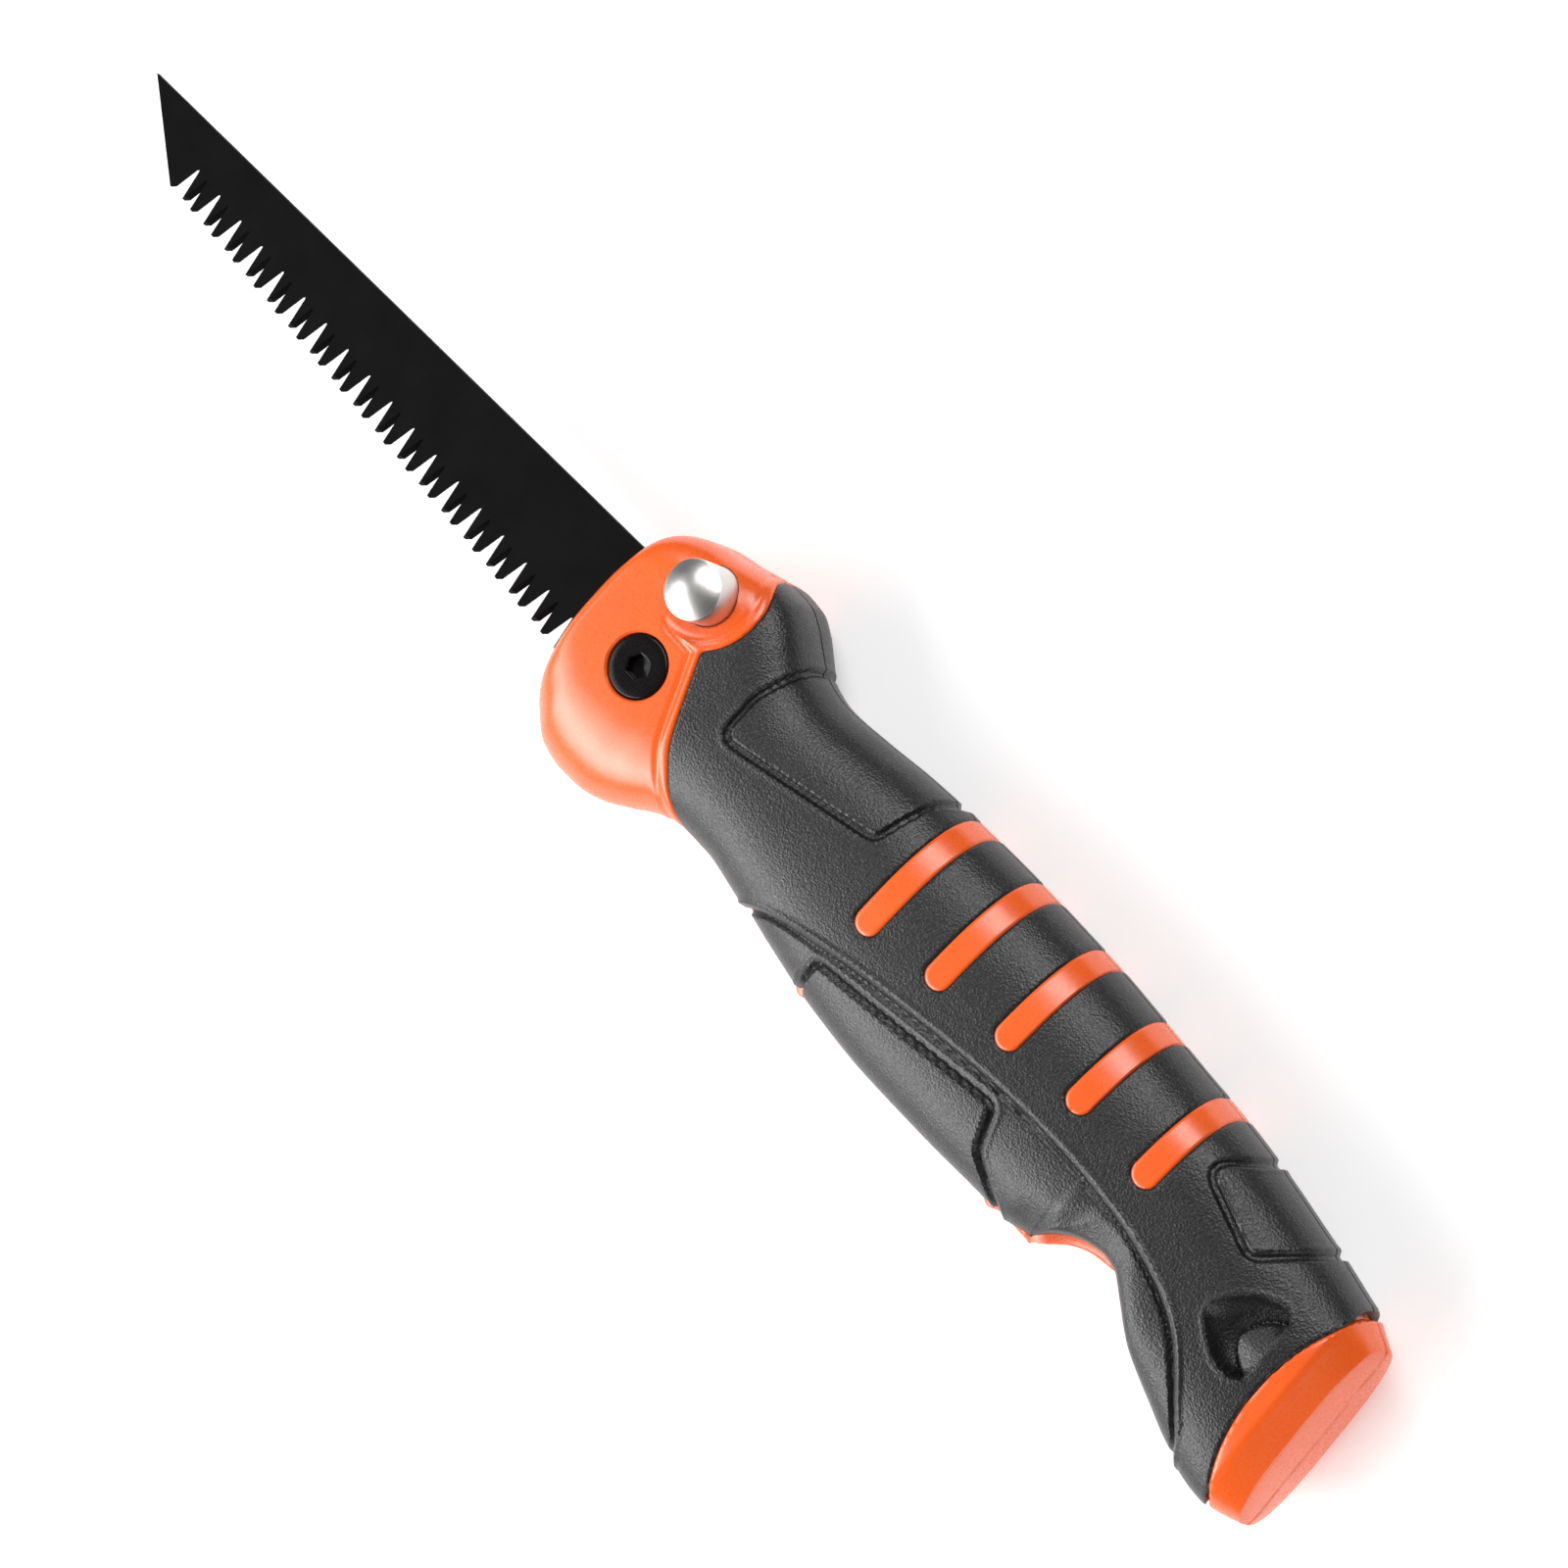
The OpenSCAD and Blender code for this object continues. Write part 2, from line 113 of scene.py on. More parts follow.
# The room that the blade needs in the slot: its back's line, x then y, and its tang's radius.
BLADE_ROOM_X = (-30, -8, 8, 22.5, 149.5, 168.3)
BLADE_ROOM_Y = (14.3, 14.4, 13.4, 13.4, 7.6, 6.8)
TANG_ROOM_R = 16.1
HEAD_FLAT = 12.5
GRIP_FLAT = 13.3
FLAT_ABOVE_Z = 6
FLAT_ENDS = (18, 34)

SHELL_UNDER_GRIP = 2.0
GRIP_UNDER_SHELL = 1.3
GRIP_INSIDE = 1.9
EDGE_ROUND = 0.5
EDGE_DROP = 0.36
EDGE_WALL = 0.7
RIB_SINK = 0.1
STEP_DROP = 0.55
PANEL_LEDGE = 0.35
STRIP_SINK = 0.9
BELLY_BUMPS = (37, 62, 114.5, 170.3)
BELLY_BUMP_W = 1.7
BELLY_BUMP_OVER = 0.15
BELLY_ROUND = 0.8
# Grooves: depth, half width of the bottom and half width in all. Beads: height and half width.
HEAD_GROOVE = (0.28, 0.15, 1.0)
PAD_GROOVE = (0.85, 0.3, 0.95)
PANEL_GROOVE = (0.8, 0.25, 0.85)
STEP_GROOVE = (1.0, 0.15, 0.7)
CREASE = (0.3, 0.1, 0.45)
THUMB_BEAD = (0.1, 0.4)
REAR_BEAD = (0.12, 0.35)
PANEL_BEAD = (0.16, 0.35)
STEP_BEAD = (0.3, 0.35)
POCKET_BEAD = (0.14, 0.5)
# The V along the parting plane: depth and half width, and how much both grow on the butt's end.
PARTING = (0.28, 0.34)
PARTING_END = (0.3, 0.16)
GRIP_FROM_X = 6.5
GRIP_TO_X = 178.5

FINGER_AT = (138.5, -25.8)
FINGER_R = 13.2
FINGER_RAMP = np.array([
    (138.5, -12.6), (140, -12.65), (142.5, -13.6), (148.1, -17.4), (151.5, -20), (156, -22.6),
    (162.5, -26), (185, -40),
])
# How softly the finger hollow meets the belly: ahead of its deepest place, how much less behind it,
# and over what length that changes.
FINGER_SOFT = (1.7, 0.5, 8)
FINGER_SQUARE = 2.8
FINGER_SINK = 1.1
# The soft grip sinks round the finger hollow, ahead of it between FLARE_IN and FLARE_OUT, and at it as
# far as HOLLOW_OUT. It fades over the heights above the belly in FLARE_HIGH and HOLLOW_HIGH.
FLARE_IN = (118.5, 124.5)
FLARE_OUT = (130, 135)
FLARE_HIGH = (4, 11)
HOLLOW_HIGH = (3, 9)
HOLLOW_OUT = (137, 145)
BELLY_GAP = 2.5
HOLLOW_GAP = 2.4
RIB_AT = [(66.1, -3.1), (82.5, -0.4), (99.3, 1.5), (116.4, 3.1), (133.8, 2.7)]
RIB_W = 5.4

HEAD_EDGE = [
    (7.4, 11.1), (10.2, 5), (13.2, -1.7), (15.3, -6.1), (17.2, -8.7), (20, -12.6), (23.7, -15.5),
    (29, -19), (36, -22),
]
HEAD_ROUND_AT = (-1.3, 20.2)
HEAD_ROUND_R = 13.0
HEAD_ROUND_LEAN = 0.3
HEAD_LEAN_BELOW_Z = 11.5
HEAD_LEAN_Y = (14, 24)
CAP_EDGE_AT = (218, -3.5)
CAP_EDGE_R = 44.7
# Outlines with a radius for each corner: x, y, radius.
THUMB_PAD = [
    (33, 44, 0), (30.6, 26.6, 2), (24.4, 25.4, 3), (21.2, 12, 8), (21.3, 2.4, 3), (56.2, 10.3, 3),
    (58.4, 22.4, 4), (63.4, 26.6, 2), (66, 44, 0),
]
REAR_PAD = [
    (153, 44, 0), (149.6, 24.2, 1), (139.2, 14.1, 3.2), (156.6, 8.3, 3.2), (167.8, 21, 1), (172, 44, 0),
]
LOWER_PANEL = [
    (62, -44, 0), (62.9, -18, 2), (63.6, -13.2, 1.6), (105.6, -6.6, 2), (108.4, -15, 4), (117, -20.8, 3),
    (123, -44, 0),
]
# The pocket's edge, the line where its wall meets its floor, and the edge of the low step: x, y.
POCKET_EDGE = [
    (157.3, -2.6), (157.9, 0), (159.4, 2.6), (161.6, 4.8), (163.3, 6), (165, 6.8), (166.4, 7.3),
    (167.7, 7.4), (168.7, 6.9), (169.5, 5.7), (170.1, 3.5), (170.8, -0.4), (171.1, -3.8), (170.7, -5.9),
    (169.6, -7.7), (168.1, -8.4), (165.8, -8.5), (164.1, -8.1), (162.6, -7.3), (161.1, -6.5),
    (159.8, -5.5), (158.1, -4.3),
]
POCKET_LINE = [
    (169.8, 5.8), (168.7, 4.7), (167.7, 4), (166.8, 3.2), (165.9, 1.9), (165.2, 0.4), (164.8, -0.6),
    (164.6, -1.7), (164.7, -2.5), (165.1, -3.3), (165.8, -4.2), (166.8, -5), (167.9, -5.8), (169.1, -6.3),
    (171, -6.8),
]
S_STEP = [
    (34, -30), (43.9, -14.5), (66.6, -8.2), (94.1, -3.5), (114, -1.6), (134.2, -2.4), (147.3, -5.1),
    (155.7, -8.8), (160.8, -13.3), (166.5, -19.9), (170.6, -24.7), (174, -44),
]
POCKET_DEPTH = 3.4
POCKET_WALL_POWER = 2.2
POCKET_FLOOR_RISE = 1.15
POCKET_FLOOR_SHARE = 0.5

BOLT_HEAD_R = 6.0
BOLT_TOP = 12.2
BOLT_SEAT = 9.7
BOLT_SOCKET_AF = 4.0
BOLT_SOCKET_DEPTH = 2.2
BOLT_SHANK_R = 2.95
BOLT_END = -12.0
BOLT_HEAD_GAP = 0.26
BUTTON_AT = (0.9, 18.6)
BUTTON_R = 5.7
BUTTON_RIM = 19.1
BUTTON_TOP = 20.7
BUTTON_HOLE_R = 5.85
BUTTON_EDGE = 0.25
BUTTON_RINGS = 44
BUTTON_RING_DEPTH = 0.01
COLLAR_R = 6.0
COLLAR_TOP = -0.65
COLLAR_T = 3.0
NECK_R = 2.8
NECK_TOP = 2.7
BUSH_R = 6.8
NEAR_BUSH_TOP = 5.5
FAR_BUSH_END = -5.8
SPRING_FLOOR = -10.5
SPRING_POCKET_R = 4.8
SPRING_R = 3.8
SPRING_WIRE_R = 0.4
SPRING_TURNS = 4
SPRING_GAP = 0.05
COIL_RINGS = 40
COIL_SIDES = 12
NUT_POCKET_AF = 10.2
NUT_POCKET_SEAT = -6.6
SPINE_SCREWS = [(28, 15.8), (73, 17), (116, 16.5), (151, 14)]
BUTT_SCREWS = [(164.5, 11.3), (172.2, -19)]
SPINE_SEAT = -5.4
BUTT_SEAT = -7.5
SHANK_HOLE_R = 3.15
SCREW_POCKET_R = 3.2
HOLE_CHAMFER = 0.35
FACE_Z = 12.45
# A height that is outside the handle, for cutters.
OUTSIDE_Z = 20
# Sides of the round cutters, and the angle past which an edge stays sharp.
CUTTER_SIDES = 72
SHARP_ANGLE = 35
# Rows and columns of the soft grip's outside for each one of its inside.
COARSE_ROWS = 8
COARSE_COLUMNS = 6

# Half the floor's width, in metres.
FLOOR_HALF = 2.5
# The camera's place and target are about the pivot, and its roll is in degrees.
CAMERA_PLACE = (328.823, 173.306, 764.991)
CAMERA_TARGET = (31.748, 2.413, 0)
CAMERA_ROLL = -42.67
CAMERA_LENS = 106.243


# ---- Curves and distances ----
def smoothstep(low, high, value):
    t = np.clip((value - low) / (high - low), 0, 1)
    return t * t * (3 - 2 * t)


def monotone(xs, ys, x):
    """Monotone cubic curve through the points (xs, ys), read at x."""
    step = np.diff(xs)
    slope = np.diff(ys) / step
    tangent = np.zeros(len(xs))
    tangent[0] = slope[0]
    tangent[-1] = slope[-1]
    for k in range(1, len(xs) - 1):
        if slope[k - 1] * slope[k] > 0:
            before = 2 * step[k] + step[k - 1]
            after = step[k] + 2 * step[k - 1]
            tangent[k] = (before + after) / (before / slope[k - 1] + after / slope[k])
    i = np.clip(np.searchsorted(xs, x) - 1, 0, len(xs) - 2)
    t = (x - xs[i]) / step[i]
    return (
        (2 * t**3 - 3 * t**2 + 1) * ys[i]
        + (t**3 - 2 * t**2 + t) * step[i] * tangent[i]
        + (3 * t**2 - 2 * t**3) * ys[i + 1]
        + (t**3 - t**2) * step[i] * tangent[i + 1]
    )


def rounded(points, passes=3, closed=True):
    """The outline with its corners cut again and again, which rounds them."""
    points = np.array(points, float)
    for _ in range(passes):
        after = np.roll(points, -1, 0) if closed else points[1:]
        before = points if closed else points[:-1]
        cut = np.stack([before * 0.75 + after * 0.25, before * 0.25 + after * 0.75], 1).reshape(-1, 2)
        points = cut if closed else np.concatenate([points[:1], cut, points[-1:]])
    return points


def filleted(outline):
    """The closed outline (x, y, radius) with an arc at every corner."""
    corners = np.array(outline, float)
    points = []
    for before, corner, after in zip(np.roll(corners, 1, 0), corners, np.roll(corners, -1, 0)):
        back = before[:2] - corner[:2]
        ahead = after[:2] - corner[:2]
        back_length = np.hypot(*back)
        ahead_length = np.hypot(*ahead)
        back /= back_length
        ahead /= ahead_length
        half = math.acos(float(np.clip(back @ ahead, -1, 1))) / 2
        reach = min(corner[2] / math.tan(half), 0.48 * back_length, 0.48 * ahead_length)
        start = corner[:2] + back * reach
        end = corner[:2] + ahead * reach
        for t in np.linspace(0, 1, 9 if reach > 0.05 else 1):
            points.append((1 - t) ** 2 * start + 2 * t * (1 - t) * corner[:2] + t**2 * end)
    return np.array(points)


def distance_to_path(x, y, points, closed=True):
    """Distance from every (x, y) to the outline."""
    best = np.full(x.shape, 1e9)
    ends = np.roll(points, -1, 0) if closed else points[1:]
    for (ax, ay), (bx, by) in zip(points, ends):
        ux = bx - ax
        uy = by - ay
        t = np.clip(((x - ax) * ux + (y - ay) * uy) / max(ux * ux + uy * uy, 1e-12), 0, 1)
        best = np.minimum(best, (x - ax - t * ux) ** 2 + (y - ay - t * uy) ** 2)
    return np.sqrt(best)


def inside(x, y, points):
    """Whether every (x, y) is inside the closed outline."""
    hit = np.zeros(x.shape, bool)
    for (ax, ay), (bx, by) in zip(points, np.roll(points, -1, 0)):
        crosses = (ay > y) != (by > y)
        at = ax + (y - ay) * (bx - ax) / (by - ay if by != ay else 1e-12)
        hit ^= crosses & (x < at)
    return hit


def area_distance(x, y, points):
    """Distance to the closed outline, negative inside it."""
    return np.where(inside(x, y, points), -1, 1) * distance_to_path(x, y, points)


def band(distance, flat, total):
    """1 within flat of a line, falling to 0 at total."""
    return 1 - smoothstep(flat, total, np.abs(distance))


# ---- The handle's surface, as a grid of rows along X and points round each half section ----
def row_places():
    """Places of the rows, closer together at the rounded front and at the finger hollow."""
    front = np.linspace(FRONT_X, FRONT_ROWS_TO, FRONT_ROWS)
    hollow = (FINGER_AT[0] - FINGER_R - 1.5, FINGER_AT[0] - FINGER_R + 2.5)
    places = list(front)
    x = front[-1]
    while x < CAP_RIDGE_X - 0.7:
        x += ROW_STEP * (HOLLOW_ROW_SHARE if hollow[0] < x < hollow[1] else 1)
        places.append(x)
    places = [p for p in places if abs(p - SLOT_END_X) > 0.3]
    places += [SLOT_END_X - 0.05, SLOT_END_X + 0.05]
    return np.array(sorted(places))


def hollow_line(x):
    """Height of the finger hollow at x: an arc ahead of its deepest place and a ramp behind it."""
    across = FINGER_R**2 - (x - FINGER_AT[0]) ** 2
    arc = FINGER_AT[1] + np.sqrt(np.clip(across, 0, None)) + 0.3 * np.clip(across, -40, 0)
    ramp = monotone(FINGER_RAMP[:, 0], FINGER_RAMP[:, 1], x)
    return np.where(x < FINGER_AT[0], arc, ramp)


def side_view(x):
    """Belly, spine, half thickness and both squarenesses at x."""
    belly, spine, half, low_power, high_power = [
        monotone(STATIONS[:, 0], STATIONS[:, k], x) for k in (1, 2, 3, 4, 5)
    ]
    ahead, less, over = FINGER_SOFT
    soft = ahead - less * smoothstep(FINGER_AT[0], FINGER_AT[0] + over, x)
    cut_in = soft * np.logaddexp(0, (hollow_line(x) - belly) / soft)
    low_power = low_power + FINGER_SQUARE * smoothstep(0, 6, cut_in)
    return belly + cut_in, spine, half, low_power, high_power


def section(belly, spine, half, low_power, high_power, z_end, count):
    """Points round a half section, from the spine over the top to the belly.

    They are evenly spaced, apart from the close ones at the spine, and stop at z_end at the belly.
    """
    t = np.linspace(0, 1, SECTION_SAMPLES)
    angle = math.pi * (t - np.sin(4 * math.pi * t) / (4 * math.pi) * 0.85)
    cos = np.cos(angle)
    sin = np.clip(np.sin(angle), 0, None)
    power = np.where(cos > 0, high_power, low_power)
    y = (belly + spine) / 2 + np.sign(cos) * (spine - belly) / 2 * np.abs(cos) ** (2 / power)
    z = half * sin ** (2 / power)
    keep = (z >= z_end) | (angle < math.pi / 2)
    y = y[keep]
    z = z[keep]
    length = np.concatenate([[0], np.cumsum(np.hypot(np.diff(y), np.diff(z)))])
    rest = np.linspace(SPINE_POINTS[-1], length[-1], count - 2)[1:]
    at = np.concatenate([SPINE_POINTS, rest])
    return np.interp(at, length, y), np.interp(at, length, z)


def slanted(x, y):
    """The place along the handle of a point at height y, pushed so that the butt slants."""
    return x - SLANT * y * np.clip((x - SLANT_FROM) / SLANT_OVER, 0, 1)


def cap_rows():
    """Rows over the butt's ridge, chamfer and crowned end: x, share of the chamfer, share of the end."""
    rows = [
        (CAP_RIDGE_X - 0.3, 0.0, 0.0),
        (CAP_RIDGE_X - 0.05, 0.01, 0.0),
        (CAP_RIDGE_X + 0.2, 0.06, 0.0),
    ]
    for t in np.linspace(0.1, 0.97, 14):
        rows.append((CAP_RIDGE_X + (CAP_CHAMFER_X - CAP_RIDGE_X) * t, t, 0.0))
    for t in CAP_END_ROWS:
        crown = (CAP_END_X - CAP_CHAMFER_X) * (1 - (1 - t) ** 2) ** 0.85
        rows.append((CAP_CHAMFER_X + crown, 1.0, t))
    return rows


def cap_section(chamfer, end):
    """Belly, spine and half thickness of a row of the butt's cap."""
    last = STATIONS[-1]
    round_in = CAP_END_ROUND * end**1.5
    belly = last[1] + CAP_CHAMFER_IN[0] * chamfer + round_in
    spine = last[2] - CAP_CHAMFER_IN[1] * chamfer - round_in
    half = last[3] - CAP_CHAMFER_IN[2] * chamfer
    return belly, spine, half * (1 - CAP_END_CLOSED * end)


def handle_grid():
    """The undisplaced near half, (rows, ARC_POINTS, 3), and how many rows are ahead of the cap."""
    xs = row_places()
    views = np.array(side_view(xs))
    grid = []
    for k, x in enumerate(xs):
        z_end = SLOT_HALF if x < SLOT_END_X else 0.0
        y, z = section(*views[:, k], z_end, ARC_POINTS)
        grid.append(np.stack([np.full_like(y, x), y, z], 1))
    body_rows = len(grid)
    for x, chamfer, end in cap_rows():
        y, z = section(*cap_section(chamfer, end), *STATIONS[-1][4:], 0.0, ARC_POINTS)
        grid.append(np.stack([np.full_like(y, x), y, z], 1))
    grid = np.array(grid)
    grid[..., 0] = slanted(grid[..., 0], grid[..., 1])
    return grid, body_rows


def soft_min(a, b, soft):
    """The smaller of a and b, with a round blend where they are close."""
    return -soft * np.logaddexp(-a / soft, -b / soft)


def normals_of(grid):
    """The grid's normals, all pointing outwards."""
    along = np.gradient(grid, axis=0)
    round_ = np.gradient(grid, axis=1)
    n = np.cross(along, round_)
    n /= np.maximum(np.linalg.norm(n, axis=2, keepdims=True), 1e-9)
    middle = n[len(n) // 2, n.shape[1] // 2]
    return n if middle[2] > 0 else -n


# ---- Where the two plastics meet, and the details moulded into them ----
def rib_distance(x, y, at):
    """Distance to a rib: a round lower end, then one width up to the spine."""
    up = y - at[1] - RIB_W / 2
    across = np.abs(x - at[0])
    return np.where(up > 0, across, np.hypot(across, up)) - RIB_W / 2


class Fields:
    """Distances from each grid point to the lines drawn on the handle, and its part in the hollow."""

    def __init__(self, grid):
        x = grid[..., 0]
        y = grid[..., 1]
        z = grid[..., 2]
        edge = rounded(HEAD_EDGE, 2, closed=False)
        above = [(-AWAY, AWAY), (0, AWAY), (0, HEAD_EDGE[0][1])]
        head = np.concatenate([above, edge, [(AWAY, -AWAY), (-AWAY, -AWAY)]])
        lean = HEAD_ROUND_LEAN * np.clip(HEAD_LEAN_BELOW_Z - z, 0, None) * smoothstep(*HEAD_LEAN_Y, y)
        ring = np.hypot(x + lean - HEAD_ROUND_AT[0], y - HEAD_ROUND_AT[1]) - HEAD_ROUND_R
        self.head = soft_min(area_distance(x, y, head), ring, 0.35)
        self.cap = np.hypot(x - CAP_EDGE_AT[0], y - CAP_EDGE_AT[1]) - CAP_EDGE_R
        self.ribs = np.min([rib_distance(x, y, at) for at in RIB_AT], 0)
        along = np.clip(x, FRONT_X, FIELD_TO_X)
        belly = side_view(along)[0]
        plain = monotone(STATIONS[:, 0], STATIONS[:, 1], along)
        hollow = smoothstep(0.5, 4, belly - plain) * (1 - smoothstep(*HOLLOW_HIGH, y - belly))
        self.hollow_arc = hollow * (1 - smoothstep(*HOLLOW_OUT, x))
        flare = smoothstep(*FLARE_IN, x) * (1 - smoothstep(*FLARE_OUT, x))
        flare = flare * (1 - smoothstep(*FLARE_HIGH, y - belly))
        self.hollow_edge = np.maximum(self.hollow_arc, flare)
        gap = BELLY_GAP + HOLLOW_GAP * self.hollow_edge
        self.strip = np.where(y < -6, z - gap, 99)
        self.orange = np.min([self.head, self.cap, self.ribs, self.strip], 0)
        self.thumb = area_distance(x, y, filleted(THUMB_PAD))
        self.rear = area_distance(x, y, filleted(REAR_PAD))
        self.step = -area_distance(x, y, rounded(S_STEP))
        self.panel = area_distance(x, y, filleted(LOWER_PANEL))
        self.pocket = area_distance(x, y, rounded(POCKET_EDGE, 2))
        line = np.array(POCKET_LINE)
        butt_side = [(FIELD_TO_X, line[-1, 1]), (FIELD_TO_X, line[0, 1])]
        behind = inside(x, y, np.concatenate([line, butt_side]))
        self.floor = np.where(behind, -1, 1) * distance_to_path(x, y, line, closed=False)
        self.x = x
        self.y = y
        self.z = z


def groove(distance, depth, flat, total):
    """A groove along a line."""
    return -depth * band(distance, flat, total)


def bead(distance, height, width):
    """A raised bead along a line."""
    return height * np.exp(-((distance / width) ** 2))


def pocket_height(f):
    """The pocket near the butt: a scooped wall down to a line, and a floor that rises behind it."""
    to_edge = np.clip(-f.pocket, 0, None)
    to_line = np.abs(f.floor)
    share = to_line / np.maximum(to_edge + to_line, 1e-6)
    wall = 1 - share**POCKET_WALL_POWER
    floor = POCKET_FLOOR_SHARE * (1 - np.clip(share * POCKET_FLOOR_RISE, 0, 1))
    depth = POCKET_DEPTH * smoothstep(0, 0.7, to_edge) * np.where(f.floor < 0, floor, wall)
    crease = groove(f.floor - 0.15, *CREASE) * (to_edge > 0)
    lip = bead(f.pocket - 0.2, *POCKET_BEAD) * (f.floor > 0)
    return lip + crease - depth


def parting_line(f, grid):
    """A small V along the parting plane, deeper on the butt's end."""
    end = smoothstep(CAP_CHAMFER_X - 1, CAP_CHAMFER_X, f.x + SLANT * f.y)
    depth = PARTING[0] + PARTING_END[0] * end
    width = PARTING[1] + PARTING_END[1] * end
    return -depth * np.clip(1 - grid[..., 2] / width, 0, 1)


def belly_round(grid, rows):
    """Rounds the edge between the outside and the slot."""
    step = np.linalg.norm(np.diff(grid, axis=1), axis=2)
    left = np.concatenate([np.cumsum(step[:, ::-1], 1)[:, ::-1], np.zeros((len(grid), 1))], 1)
    t = np.clip(1 - left / BELLY_ROUND, 0, 1)
    drop = -BELLY_ROUND * (1 - np.sqrt(np.clip(1 - t**2, 0, 1)))
    drop[rows:] = 0
    return drop


def shell_height(f, grid, rows):
    """The shell's height above the grid: low under the grip, and with its own grooves where it shows."""
    under = SHELL_UNDER_GRIP + (POCKET_DEPTH + 0.4) * (1 - smoothstep(2, 5, f.pocket))
    under = under + FINGER_SINK * f.hollow_edge
    height = -EDGE_DROP * np.clip(1 + f.orange / EDGE_ROUND, 0, 1) ** 2
    height = height - (under - EDGE_DROP) * smoothstep(0, 1, f.orange / EDGE_WALL)
    height = height + groove(f.head + 2.2, *HEAD_GROOVE)
    height = height - RIB_SINK * (f.ribs < 2)
    strip_sink = STRIP_SINK * (1 - f.hollow_arc) * smoothstep(0.8, 2, f.head) * smoothstep(0.8, 2, f.cap)
    for x in BELLY_BUMPS:
        strip_sink = strip_sink - bead(f.x - x, STRIP_SINK + BELLY_BUMP_OVER, BELLY_BUMP_W)
    height = height - strip_sink * (f.strip < 1.0)
    return height + belly_round(grid, rows) + parting_line(f, grid)


def grip_details(f):
    """Pads, panel, step and pocket of the soft grip. The step's groove is deeper towards its ends."""
    ends = 1 - smoothstep(50, 62, f.x) + smoothstep(128, 150, f.x)
    height = groove(f.thumb, *PAD_GROOVE) + bead(f.thumb - 1.2, *THUMB_BEAD)
    height += groove(f.rear, *PAD_GROOVE) + bead(f.rear + 1.3, *REAR_BEAD)
    height += groove(f.panel, *PANEL_GROOVE) + bead(f.panel - 2.0, *PANEL_BEAD)
    height -= PANEL_LEDGE * (1 - smoothstep(0.3, 1.9, f.panel)) * (f.panel > 0)
    height += -STEP_DROP * smoothstep(-0.1, 1.2, f.step)
    height += groove(f.step - 1.5, *STEP_GROOVE) * (0.5 + 0.3 * ends) + bead(f.step + 0.4, *STEP_BEAD)
    height -= FINGER_SINK * f.hollow_edge
    return height + pocket_height(f)


def grip_height(f, grid):
    """The grip's height above the grid: low under the orange, and with its details where it shows."""
    height = -EDGE_DROP * np.clip(1 - f.orange / EDGE_ROUND, 0, 1) ** 2
    height = height - (GRIP_UNDER_SHELL - EDGE_DROP) * smoothstep(0, 1, -f.orange / EDGE_WALL)
    return height + grip_details(f) + parting_line(f, grid)


# ---- Meshes ----
def to_row(points, mirrored=False):
    """Points in the row frame, in metres. The far half is the near half mirrored at z = 0."""
    points = np.array(points, float).reshape(-1, 3)
    if mirrored:
        points = points * (1, 1, -1)
    return points * MM + PIVOT


def mesh_piece(name, points, faces, mirrored=False, smooth_angle=SHARP_ANGLE):
    """A mesh object in the row frame, with edges sharper than smooth_angle kept sharp."""
    mesh = bpy.data.meshes.new(name)
    if mirrored:
        faces = [tuple(reversed(f)) for f in faces]
    mesh.from_pydata(to_row(points, mirrored).tolist(), [], [tuple(map(int, f)) for f in faces])
    mesh.validate()
    mesh.update()
    piece = bpy.data.objects.new(name, mesh)
    bpy.context.scene.collection.objects.link(piece)
    mesh.shade_smooth()
    mesh.set_sharp_from_angle(angle=math.radians(smooth_angle))
    return piece


def tube_faces(rings, count):
    """Quads between rings of count points each, with both ends closed."""
    k = np.arange(rings - 1)[:, None] * count
    i = np.arange(count)[None, :]
    j = (i + 1) % count
    quads = np.stack([k + i, k + j, k + count + j, k + count + i], 2).reshape(-1, 4)
    faces = [tuple(q) for q in quads.tolist()]
    faces.append(tuple(range(count - 1, -1, -1)))
    faces.append(tuple(range((rings - 1) * count, rings * count)))
    return faces


def slot_top(x):
    """Top of the space that the blade needs, at x."""
    line = np.interp(x, BLADE_ROOM_X, BLADE_ROOM_Y)
    disc = np.sqrt(np.clip(TANG_ROOM_R**2 - x**2, 0, None))
    return np.maximum(line, disc)


def shell_mesh(name, grid, height, normals, mirrored):
    """A closed half shell: its outside, the slot's wall and the parting plane."""
    outer = grid + normals * height[..., None]
    outer[..., 2] = np.minimum(outer[..., 2], HALF_MAX)
    outer[:, 0, 2] = 0
    x_plain = grid[:, ARC_POINTS // 2, 0]
    rings = []
    for k, row in enumerate(outer):
        slotted = x_plain[k] < SLOT_END_X and grid[k, -1, 2] > 0.5
        z_end = SLOT_HALF if slotted else 0.0
        row[-1, 2] = z_end
        spine = row[0]
        belly = row[-1]
        top = belly[1] + (spine[1] - belly[1]) * 0.8
        step_y = top + (spine[1] - top) * 0.5
        if slotted:
            top = min(slot_top(x_plain[k]), spine[1] - SLOT_ROOF)
            step_y = top
        ys = belly[1] + (top - belly[1]) * np.arange(1, SLOT_POINTS + 1) / SLOT_POINTS
        lean = spine[0] - belly[0]
        across = max(spine[1] - belly[1], 1e-6)
        xs = belly[0] + lean * (ys - belly[1]) / across
        wall = np.stack([xs, ys, np.full_like(ys, z_end)], 1)
        step_x = belly[0] + lean * (step_y - belly[1]) / across
        rings.append(np.concatenate([row, wall, [(step_x, step_y, 0.0)]]))
    points = np.concatenate(rings)
    faces = tube_faces(len(rings), ARC_POINTS + SLOT_POINTS + 1)
    return mesh_piece(name, points, faces, mirrored)


